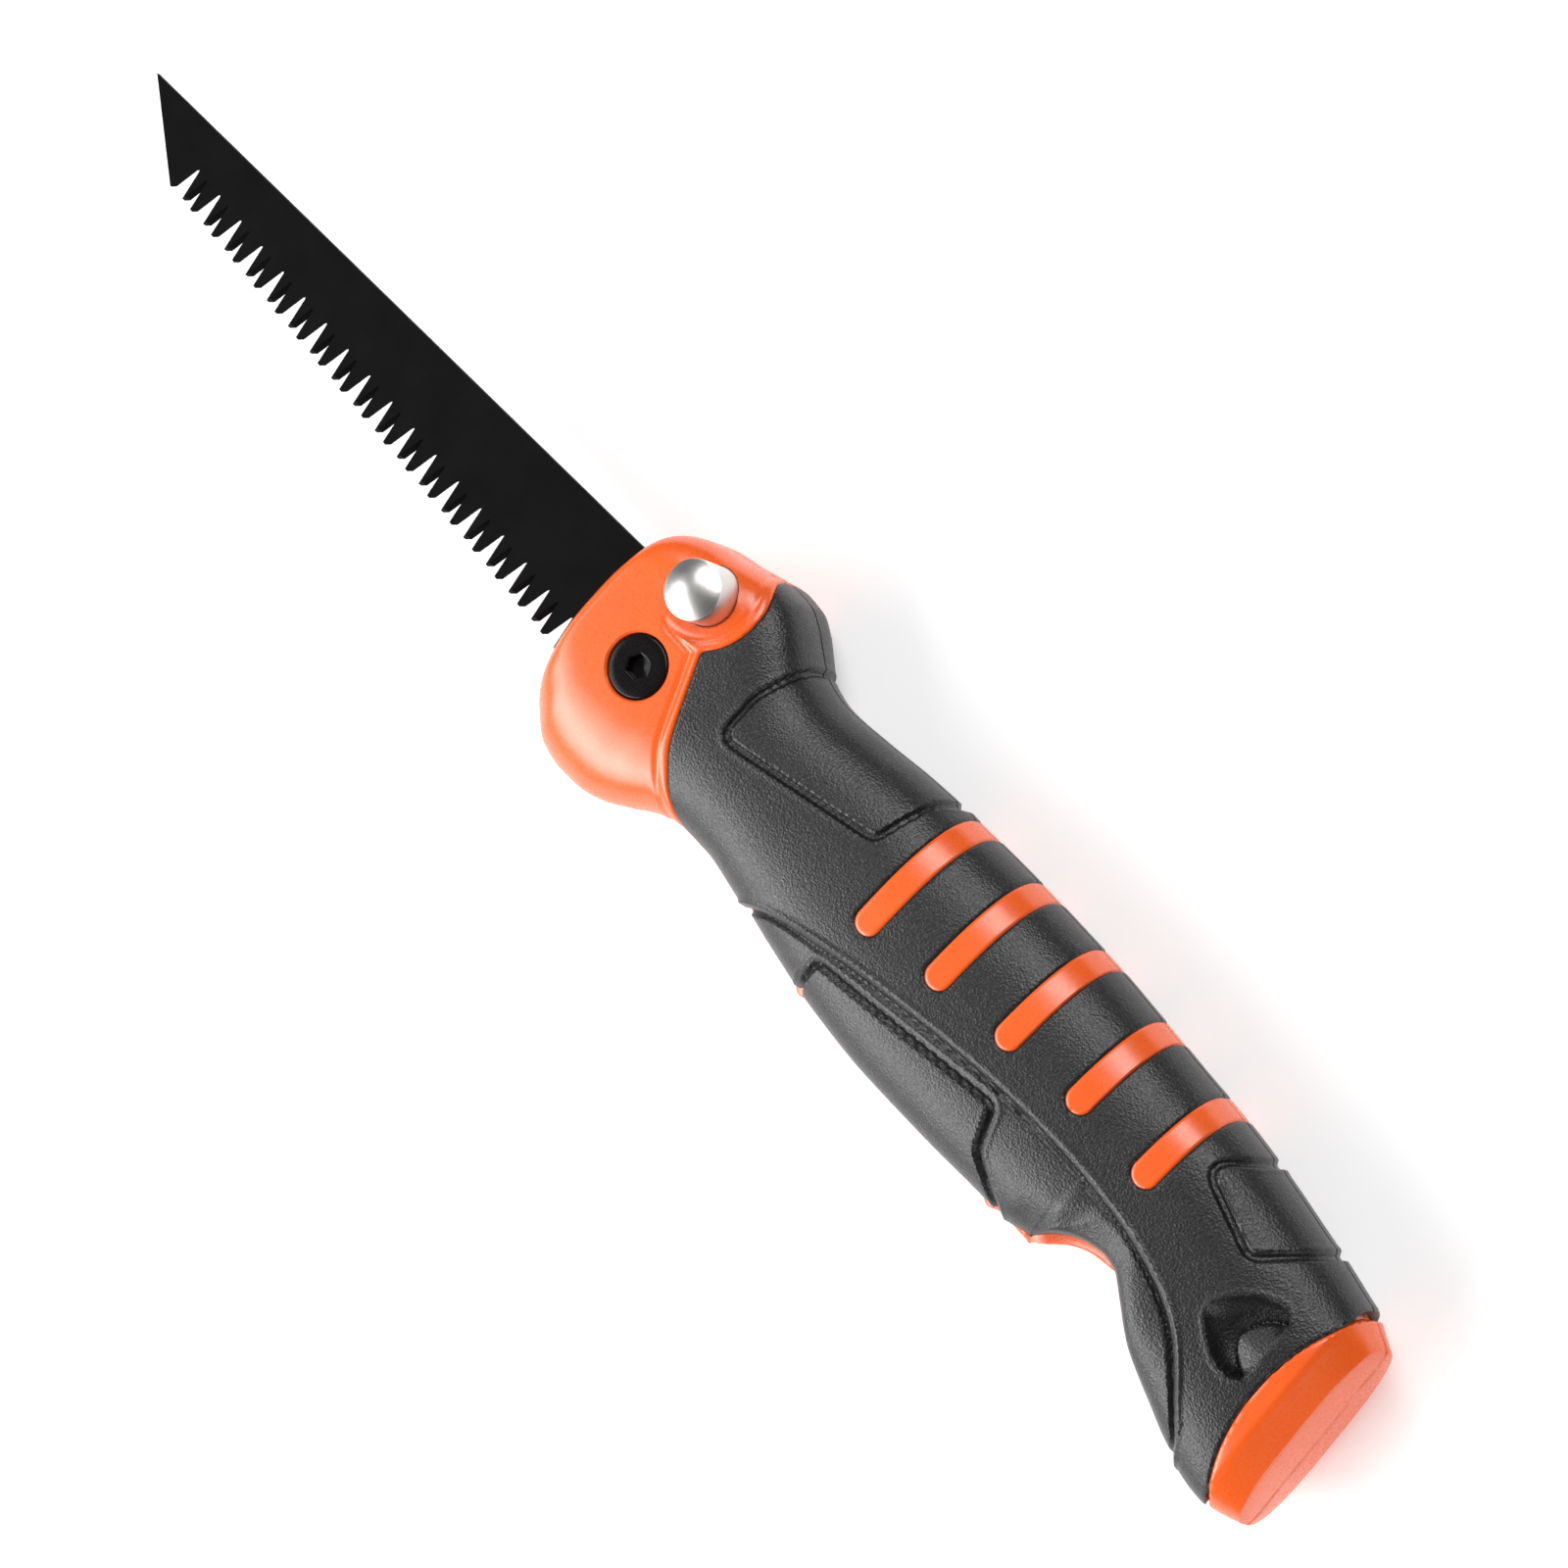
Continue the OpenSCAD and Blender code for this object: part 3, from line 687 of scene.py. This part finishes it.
def grip_mesh(name, grid, height, inner_height, normals, mirrored):
    """A closed soft layer: fine outside, coarse inside, joined round its border."""
    x_plain = grid[:, ARC_POINTS // 2, 0]
    rows = np.where((x_plain > GRIP_FROM_X) & (x_plain < GRIP_TO_X))[0]
    step = COARSE_ROWS
    side = COARSE_COLUMNS
    rows = rows[:(len(rows) - 1) // step * step + 1]
    columns = np.arange(0, (ARC_POINTS - 4) // side * side + 1)
    outer = (grid + normals * height[..., None])[rows][:, columns]
    outer[..., 2] = np.minimum(outer[..., 2], HALF_MAX)
    outer[:, 0, 2] = 0
    coarse_rows = rows[::step]
    coarse_columns = columns[::side]
    inner = (grid + normals * inner_height[..., None])[coarse_rows][:, coarse_columns]
    inner[:, 0, 2] = 0
    n = len(columns)
    m = len(coarse_columns)
    base = len(rows) * n
    faces = []
    k = np.arange(len(rows) - 1)[:, None] * n
    i = np.arange(n - 1)[None, :]
    faces += np.stack([k + i, k + i + 1, k + n + i + 1, k + n + i], 2).reshape(-1, 4).tolist()
    k = base + np.arange(len(coarse_rows) - 1)[:, None] * m
    i = np.arange(m - 1)[None, :]
    faces += np.stack([k + i, k + m + i, k + m + i + 1, k + i + 1], 2).reshape(-1, 4).tolist()
    last_row = (len(rows) - 1) * n
    last_coarse = base + (len(coarse_rows) - 1) * m
    for c in range(m - 1):
        fine = list(range(c * side, c * side + side + 1))
        faces.append([base + c, base + c + 1] + fine[::-1])
        faces.append([last_coarse + c + 1, last_coarse + c] + [last_row + v for v in fine])
    for r in range(len(coarse_rows) - 1):
        fine = [(r * step + q) * n for q in range(step + 1)]
        faces.append([base + (r + 1) * m, base + r * m] + fine)
        fine = [(r * step + q) * n + n - 1 for q in range(step + 1)]
        faces.append([base + r * m + m - 1, base + (r + 1) * m + m - 1] + fine[::-1])
    points = np.concatenate([outer.reshape(-1, 3), inner.reshape(-1, 3)])
    return mesh_piece(name, points, faces, mirrored)


def lathe(name, profile, at=(0, 0), sides=96, smooth_angle=SHARP_ANGLE):
    """A turned piece. Profile rows are (z, radius) or (z, af, "hex") for a hexagon across the flats."""
    turn = np.arange(sides) * 2 * math.pi / sides
    rings = []
    for entry in profile:
        if len(entry) == 3:
            sector = (turn % (math.pi / 3)) - math.pi / 6
            radius = entry[1] / 2 / np.cos(sector)
        else:
            radius = np.full(sides, max(entry[1], 0.01))
        x = at[0] + radius * np.cos(turn)
        y = at[1] + radius * np.sin(turn)
        rings.append(np.stack([x, y, np.full(sides, entry[0])], 1))
    faces = tube_faces(len(rings), sides)
    return mesh_piece(name, np.concatenate(rings), faces, False, smooth_angle)


def cut(piece, cutters):
    """Takes the cutters out of the piece, and removes them from the scene."""
    for cutter in cutters:
        modifier = piece.modifiers.new("cut", "BOOLEAN")
        modifier.operation = "DIFFERENCE"
        modifier.solver = "MANIFOLD"
        modifier.object = cutter
    depsgraph = bpy.context.evaluated_depsgraph_get()
    result = bpy.data.meshes.new_from_object(piece.evaluated_get(depsgraph))
    piece.modifiers.clear()
    piece.data = result
    for cutter in cutters:
        bpy.data.objects.remove(cutter)
    result.set_sharp_from_angle(angle=math.radians(SHARP_ANGLE))


def hole(radius, low, high, at=(0, 0), chamfer_at=None):
    """A round cutter, with a chamfer where the hole meets a flat face at chamfer_at."""
    profile = [(low, radius), (high, radius)]
    if chamfer_at is not None:
        wide = radius + HOLE_CHAMFER
        profile[1:] = [(chamfer_at - HOLE_CHAMFER, radius), (chamfer_at + 0.02, wide), (high, wide)]
    return lathe("cutter", profile, at, CUTTER_SIDES)


# ---- Materials ----
class Nodes:
    """Shorthand for building one material's nodes."""

    def __init__(self, name):
        self.material = bpy.data.materials.new(name)
        self.material.use_nodes = True
        self.tree = self.material.node_tree
        self.shader = self.tree.nodes["Principled BSDF"]
        self.place = self.tree.nodes.new("ShaderNodeTexCoord").outputs["Object"]

    def add(self, kind, **values):
        node = self.tree.nodes.new("ShaderNode" + kind)
        for key, value in values.items():
            if key in node.inputs:
                node.inputs[key].default_value = value
            else:
                setattr(node, key, value)
        return node

    def link(self, source, target):
        self.tree.links.new(source, target)

    def noise(self, scale, detail=3, roughness=0.55):
        """Noise of that many blobs per millimetre."""
        node = self.add("TexNoise", Scale=scale / MM, Detail=detail, Roughness=roughness)
        self.link(self.place, node.inputs["Vector"])
        return node.outputs["Fac"]

    def cells(self, scale):
        """Distance within cells, that many per millimetre."""
        node = self.add("TexVoronoi", Scale=scale / MM)
        self.link(self.place, node.inputs["Vector"])
        return node.outputs["Distance"]

    def ramp(self, source, low, high, low_value, high_value):
        """The source from low to high, as a value from low_value to high_value."""
        node = self.add("MapRange")
        node.clamp = True
        limits = {"From Min": low, "From Max": high, "To Min": low_value, "To Max": high_value}
        for key, value in limits.items():
            node.inputs[key].default_value = value
        self.link(source, node.inputs["Value"])
        return node.outputs["Result"]

    def mix(self, factor, a, b):
        """A base colour between a and b. The colour sockets of the Mix node are 6, 7 and output 2."""
        node = self.add("Mix", data_type="RGBA")
        node.inputs[6].default_value = (*a, 1)
        node.inputs[7].default_value = (*b, 1)
        self.link(factor, node.inputs[0])
        self.link(node.outputs[2], self.shader.inputs["Base Color"])

    def bump(self, source, height_mm):
        """Adds a bump of that height to those that the shader has."""
        node = self.add("Bump", Strength=1.0, Distance=height_mm * MM)
        self.link(source, node.inputs["Height"])
        previous = self.shader.inputs["Normal"].links
        if previous:
            self.link(previous[0].from_socket, node.inputs["Normal"])
        self.link(node.outputs["Normal"], self.shader.inputs["Normal"])

    def set(self, **values):
        for key, value in values.items():
            self.shader.inputs[key.replace("_", " ")].default_value = value

    def drive(self, key, source):
        self.link(source, self.shader.inputs[key])


def orange_plastic():
    m = Nodes("orange_plastic")
    grain = m.noise(2.0, 3)
    patch = m.noise(0.06, 2)
    m.mix(m.ramp(patch, 0.35, 0.65, 0, 1), (0.90, 0.112, 0.010), (0.94, 0.126, 0.014))
    m.drive("Roughness", m.ramp(grain, 0.3, 0.7, 0.24, 0.34))
    m.bump(grain, 0.01)
    m.bump(m.noise(0.35, 2), 0.02)
    m.set(IOR=1.5, Specular_IOR_Level=0.8)
    return m.material


def soft_grip():
    m = Nodes("soft_grip")
    # Bright flecks painted into the base colour: partly the grain's own tone, partly painted glints that
    # stand in for the sparkle of the textured surface.
    speck_and_painted_glint = m.noise(2.6, 3, 0.7)
    grain = m.cells(2.2)
    m.mix(m.ramp(speck_and_painted_glint, 0.50, 0.72, 0, 1), (0.004, 0.004, 0.0045), (0.045, 0.045, 0.048))
    m.drive("Roughness", m.ramp(speck_and_painted_glint, 0.35, 0.65, 0.42, 0.30))
    m.bump(grain, 0.07)
    m.bump(speck_and_painted_glint, 0.06)
    m.set(IOR=1.5, Specular_IOR_Level=0.6)
    return m.material


def black_coating():
    m = Nodes("black_coating")
    grain = m.noise(5, 3)
    streak = m.noise(0.12, 3)
    m.mix(m.ramp(streak, 0.35, 0.65, 0, 1), (0.0040, 0.0040, 0.0043), (0.0055, 0.0055, 0.0058))
    m.drive("Roughness", m.ramp(grain, 0.3, 0.7, 0.42, 0.52))
    m.bump(grain, 0.006)
    m.set(Specular_IOR_Level=0.04)
    return m.material


def black_oxide():
    m = Nodes("black_oxide")
    grain = m.noise(3, 3)
    m.mix(m.ramp(grain, 0.3, 0.7, 0, 1), (0.004, 0.0035, 0.004), (0.008, 0.0065, 0.007))
    m.drive("Roughness", m.ramp(grain, 0.3, 0.7, 0.14, 0.22))
    m.bump(grain, 0.008)
    m.set(Specular_IOR_Level=0.22)
    return m.material


def turned_metal(name, colour, roughness, rings_per_mm, axis_at):
    """Metal turned about an axis along Z, with fine rings round it."""
    m = Nodes(name)
    centre = m.add("Mapping")
    place = PIVOT + np.array([axis_at[0], axis_at[1], 0]) * MM
    centre.inputs["Location"].default_value = (-place[0], -place[1], -place[2])
    m.link(m.place, centre.inputs["Vector"])
    rings = m.add("TexWave", wave_type="RINGS", rings_direction="Z")
    rings.inputs["Scale"].default_value = rings_per_mm / MM / 3.2
    rings.inputs["Distortion"].default_value = 0.6
    rings.inputs["Detail"].default_value = 2
    m.link(centre.outputs["Vector"], rings.inputs["Vector"])
    stain = m.noise(0.5, 3)
    m.mix(m.ramp(stain, 0.3, 0.7, 0, 1), tuple(c * 0.92 for c in colour), colour)
    m.drive("Roughness", m.ramp(rings.outputs["Fac"], 0, 1, roughness * 0.8, roughness * 1.35))
    m.bump(rings.outputs["Fac"], 0.004)
    m.set(Metallic=1.0)
    return m.material


def plated_steel(name, colour, roughness):
    m = Nodes(name)
    grain = m.noise(1.6, 4, 0.7)
    m.mix(m.ramp(grain, 0.3, 0.7, 0, 1), tuple(c * 0.85 for c in colour), colour)
    m.drive("Roughness", m.ramp(grain, 0.3, 0.7, roughness, roughness * 1.5))
    m.bump(grain, 0.01)
    m.set(Metallic=1.0)
    return m.material


def floor_material():
    m = Nodes("floor")
    grain = m.noise(0.02, 2)
    m.mix(m.ramp(grain, 0.3, 0.7, 0, 1), (0.93, 0.93, 0.93), (0.94, 0.94, 0.94))
    m.set(Roughness=0.9, Specular_IOR_Level=0.1, Emission_Color=(1, 1, 1, 1), Emission_Strength=0.3)
    return m.material


def give(piece, material):
    piece.data.materials.clear()
    piece.data.materials.append(material)


def hand_over(piece, material, body, node):
    """Gives the piece its material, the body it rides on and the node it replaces."""
    give(piece, material)
    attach(piece, body)
    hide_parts(node)


# ---- Handle ----
def flatten_head(grid, fields):
    """Brings the faces of the head and of the grip round it down to their flats."""
    flat = HEAD_FLAT + (GRIP_FLAT - HEAD_FLAT) * smoothstep(-2.4, -0.4, fields.head)
    near_head = 1 - smoothstep(*FLAT_ENDS, grid[..., 0])
    clamped = soft_min(grid[..., 2], flat, 0.22)
    clamped = np.where(grid[..., 2] < FLAT_ABOVE_Z, grid[..., 2], clamped)
    grid[..., 2] = grid[..., 2] + (clamped - grid[..., 2]) * near_head


def end_tilt(grid, fields):
    """How far each point of the cap moves along the handle, because the butt's end leans."""
    from_ridge = fields.x + SLANT * fields.y - CAP_RIDGE_X
    towards_end = np.clip(from_ridge / (CAP_CHAMFER_X - CAP_RIDGE_X), 0, 1)
    tilt = np.zeros_like(grid)
    tilt[..., 0] = CAP_TILT * fields.z * towards_end
    return tilt


def build_handle():
    """The shell and the soft grip of both halves."""
    grid, body_rows = handle_grid()
    fields = Fields(grid)
    flatten_head(grid, fields)
    normals = normals_of(grid)
    shell_up = shell_height(fields, grid, body_rows)
    grip_up = grip_height(fields, grid)
    deep = (POCKET_DEPTH + 0.4) * (1 - smoothstep(3, 7, fields.pocket))
    inner_up = -GRIP_INSIDE - deep - FINGER_SINK * fields.hollow_edge
    tilt = end_tilt(grid, fields)
    pieces = []
    for side, mirrored in (("near", False), ("far", True)):
        own = grid + tilt if mirrored else grid - tilt
        pieces.append(shell_mesh(side + "_shell_skin", own, shell_up, normals, mirrored))
        pieces.append(grip_mesh(side + "_soft_grip", own, grip_up, inner_up, normals, mirrored))
    return pieces


def screw_holes():
    """Cutters for the screws' counterbores in the far half."""
    places = [(p, SPINE_SEAT) for p in SPINE_SCREWS] + [(p, BUTT_SEAT) for p in BUTT_SCREWS]
    return [hole(SCREW_POCKET_R, -OUTSIDE_Z, seat, place) for place, seat in places]


def cut_near_shell(shell):
    """The bolt's recess and shank hole, the button's hole and its bush's seat."""
    cut(shell, [
        hole(SHANK_HOLE_R, -1, BOLT_SEAT + 1),
        hole(BOLT_HEAD_R + BOLT_HEAD_GAP, BOLT_SEAT, OUTSIDE_Z, (0, 0), FACE_Z),
        hole(BUTTON_HOLE_R, 3, OUTSIDE_Z, BUTTON_AT, FACE_Z),
        hole(BUSH_R, -1, NEAR_BUSH_TOP, BUTTON_AT),
    ])


def cut_far_shell(shell):
    """The nut's pocket, the shank hole, the bush's seat, the spring's pocket and the screws' holes."""
    nut_profile = [(-OUTSIDE_Z, NUT_POCKET_AF, "hex"), (NUT_POCKET_SEAT, NUT_POCKET_AF, "hex")]
    cut(shell, [
        lathe("cutter", nut_profile, (0, 0), CUTTER_SIDES),
        hole(SHANK_HOLE_R, NUT_POCKET_SEAT - 1, 1),
        hole(BUSH_R, FAR_BUSH_END, 1, BUTTON_AT),
        hole(SPRING_POCKET_R, SPRING_FLOOR, 1, BUTTON_AT),
    ] + screw_holes())


# ---- Bolt, button and spring ----
def bolt_profile():
    """The bolt from the end of its shank to the floor of its hex socket."""
    head = BOLT_HEAD_R
    socket = BOLT_SOCKET_AF
    floor_z = BOLT_TOP - BOLT_SOCKET_DEPTH
    return [
        (BOLT_END, 0.01), (BOLT_END, BOLT_SHANK_R - 0.4), (BOLT_END + 0.4, BOLT_SHANK_R),
        (BOLT_SEAT - 0.15, BOLT_SHANK_R), (BOLT_SEAT, BOLT_SHANK_R + 0.15), (BOLT_SEAT, head - 0.2),
        (BOLT_SEAT + 0.2, head), (BOLT_TOP - 0.5, head), (BOLT_TOP - 0.32, head - 0.04),
        (BOLT_TOP - 0.16, head - 0.14), (BOLT_TOP - 0.05, head - 0.3), (BOLT_TOP, head - 0.5),
        (BOLT_TOP, head - 1.6), (BOLT_TOP, socket / 2 + 0.75), (BOLT_TOP, socket + 0.6, "hex"),
        (BOLT_TOP - 0.06, socket + 0.3, "hex"), (BOLT_TOP - 0.2, socket + 0.1, "hex"),
        (BOLT_TOP - 0.4, socket, "hex"), (floor_z, socket, "hex"),
        (floor_z, socket / 2 - 0.1), (floor_z - 0.5, 0.01),
    ]


def button_profile():
    """The button from the foot of its collar over its neck to its crowned top, which has fine rings."""
    low = COLLAR_TOP - COLLAR_T
    rows = [
        (low, 0.01), (low, COLLAR_R - 0.3), (low + 0.3, COLLAR_R), (COLLAR_TOP - 0.3, COLLAR_R),
        (COLLAR_TOP, COLLAR_R - 0.3), (COLLAR_TOP, NECK_R + 0.3), (COLLAR_TOP + 0.3, NECK_R),
        (NECK_TOP - 0.3, NECK_R), (NECK_TOP, NECK_R + 0.3), (NECK_TOP, BUTTON_R - 0.3),
        (NECK_TOP + 0.3, BUTTON_R), (BUTTON_RIM - BUTTON_EDGE, BUTTON_R),
        (BUTTON_RIM - BUTTON_EDGE * 0.3, BUTTON_R - BUTTON_EDGE * 0.3),
    ]
    crown_r = BUTTON_R - BUTTON_EDGE
    for k in range(BUTTON_RINGS + 1):
        r = crown_r * (1 - k / BUTTON_RINGS)
        z = BUTTON_TOP - (BUTTON_TOP - BUTTON_RIM) * (r / crown_r) ** 2
        rows.append((z - BUTTON_RING_DEPTH * (k % 2), r))
    return rows


def coil(name, radius, wire_r, low, high, turns, at):
    """A round wire wound about an axis along Z, from low to high."""
    rings = turns * COIL_RINGS
    turn = 2 * math.pi * np.arange(rings + 1) / COIL_RINGS
    side = 2 * math.pi * np.arange(COIL_SIDES) / COIL_SIDES
    r = radius + wire_r * np.cos(side)[None, :]
    x = at[0] + r * np.cos(turn)[:, None]
    y = at[1] + r * np.sin(turn)[:, None]
    z = low + (high - low) * turn[:, None] / turn[-1] + wire_r * np.sin(side)[None, :]
    faces = [tuple(reversed(f)) for f in tube_faces(rings + 1, COIL_SIDES)]
    return mesh_piece(name, np.stack([x, y, z], 2), faces)


def build_spring():
    """The lock spring, wound from the floor of its pocket up to the foot of the button's collar."""
    collar_foot = COLLAR_TOP - COLLAR_T
    gap = SPRING_WIRE_R + SPRING_GAP
    low = SPRING_FLOOR + gap
    high = collar_foot - gap
    spring = coil("lock_spring_coil", SPRING_R, SPRING_WIRE_R, low, high, SPRING_TURNS, BUTTON_AT)
    wire = plated_steel("spring_steel", (0.42, 0.42, 0.44), 0.3)
    hand_over(spring, wire, "handle", "lock_spring")
    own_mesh(spring)


# ---- Materials of the CAD nodes that stay ----
def give_node_materials():
    """Materials for the blade and for the small steel parts, which keep their CAD meshes."""
    zinc = plated_steel("zinc_steel", (0.66, 0.67, 0.70), 0.28)
    bright = turned_metal("bright_steel", (0.62, 0.62, 0.63), 0.25, 3, (0, 0))
    give(frame["nodes"]["blade"], black_coating())
    for node in ("pivot_nut", "nut_washer", "spine_screws", "butt_screws"):
        give(frame["nodes"][node], zinc)
    for node in (
        "pivot_sleeve", "near_washer", "far_washer", "near_lock_bush", "far_lock_bush",
        "open_stop_pin", "fold_stop_pin",
    ):
        give(frame["nodes"][node], bright)


# ---- Floor, light and camera ----
def build_floor():
    """A plain pale floor under the saw."""
    mesh = bpy.data.meshes.new("floor")
    corners = [(-1, -1), (1, -1), (1, 1), (-1, 1)]
    mesh.from_pydata([(x * FLOOR_HALF, y * FLOOR_HALF, 0) for x, y in corners], [], [(0, 1, 2, 3)])
    floor = bpy.data.objects.new("floor", mesh)
    bpy.context.scene.collection.objects.link(floor)
    give(floor, floor_material())


def studio_world(low, high, strength):
    """A grey surround, darker near the horizon and towards the butt, for the metal to show."""
    world = bpy.data.worlds.new("studio")
    world.use_nodes = True
    tree = world.node_tree
    place = tree.nodes.new("ShaderNodeTexCoord")
    split = tree.nodes.new("ShaderNodeSeparateXYZ")
    tree.links.new(place.outputs["Generated"], split.inputs[0])
    both = tree.nodes.new("ShaderNodeMath")
    both.operation = "MULTIPLY"
    axes = (("Z", 0.1, 0.85, low, high), ("X", -0.1, 0.6, 1.0, 0.2))
    for k, (axis, start, end, first, last) in enumerate(axes):
        shade = tree.nodes.new("ShaderNodeMapRange")
        limits = {"From Min": start, "From Max": end, "To Min": first, "To Max": last}
        for key, value in limits.items():
            shade.inputs[key].default_value = value
        tree.links.new(split.outputs[axis], shade.inputs["Value"])
        tree.links.new(shade.outputs[0], both.inputs[k])
    background = tree.nodes["Background"]
    tree.links.new(both.outputs[0], background.inputs["Color"])
    background.inputs["Strength"].default_value = strength
    bpy.context.scene.world = world


def softbox(name, place, aim, size, watts):
    """A rectangular light at place, in millimetres about the pivot, that faces aim."""
    light = bpy.data.lights.new(name, "AREA")
    light.shape = "RECTANGLE"
    light.size = size[0] * MM
    light.size_y = size[1] * MM
    light.energy = watts
    lamp = bpy.data.objects.new(name, light)
    start = Vector(to_row(place)[0].tolist())
    end = Vector(to_row(aim)[0].tolist())
    lamp.location = start
    lamp.rotation_euler = (end - start).to_track_quat("-Z", "Y").to_euler()
    bpy.context.scene.collection.objects.link(lamp)


def look_from(place, target, roll, lens):
    """The camera, in millimetres about the pivot, rolled about its own axis by roll degrees."""
    data = bpy.data.cameras.new("camera")
    data.lens = lens
    data.sensor_width = 36
    data.clip_start = 0.01
    data.clip_end = 20
    camera = bpy.data.objects.new("camera", data)
    start = Vector(to_row(place)[0].tolist())
    forward = (Vector(to_row(target)[0].tolist()) - start).normalized()
    side = forward.cross(Vector((0, 1, 0))).normalized()
    up = side.cross(forward)
    angle = math.radians(roll)
    up = math.cos(angle) * up + math.sin(angle) * side
    side = forward.cross(up)
    turn = Matrix((side, up, -forward)).transposed()
    camera.matrix_world = Matrix.Translation(start) @ turn.to_4x4()
    bpy.context.scene.collection.objects.link(camera)
    bpy.context.scene.camera = camera


# ---- The scene ----
orange = orange_plastic()
soft = soft_grip()
near_shell, near_grip, far_shell, far_grip = build_handle()
cut_near_shell(near_shell)
cut_far_shell(far_shell)
cut(far_grip, screw_holes())
hand_over(near_shell, orange, "handle", "near_shell")
hand_over(far_shell, orange, "handle", "far_shell")
hand_over(near_grip, soft, "handle", "near_grip")
hand_over(far_grip, soft, "handle", "far_grip")

bolt = lathe("pivot_bolt_turned", bolt_profile(), smooth_angle=25)
hand_over(bolt, black_oxide(), "handle", "pivot_bolt")

button = lathe("lock_button_turned", button_profile(), BUTTON_AT, 128, 30)
nickel = turned_metal("button_nickel", (0.72, 0.70, 0.68), 0.32, 5, BUTTON_AT)
hand_over(button, nickel, "lock_button", "lock_button")

build_spring()
give_node_materials()

build_floor()
studio_world(0.12, 0.6, 0.22)
softbox("key", (-60, 430, 640), (20, 0, 0), (800, 300), 4.4)
softbox("fill", (-300, -480, 560), (20, 0, 0), (900, 400), 4.0)
softbox("belly", (-120, -600, 330), (40, 0, 0), (900, 260), 5.0)
softbox("butt", (480, -50, 80), (185, 0, 0), (220, 90), 0.3)
look_from(CAMERA_PLACE, CAMERA_TARGET, CAMERA_ROLL, CAMERA_LENS)
bpy.context.scene.view_settings.view_transform = "Standard"
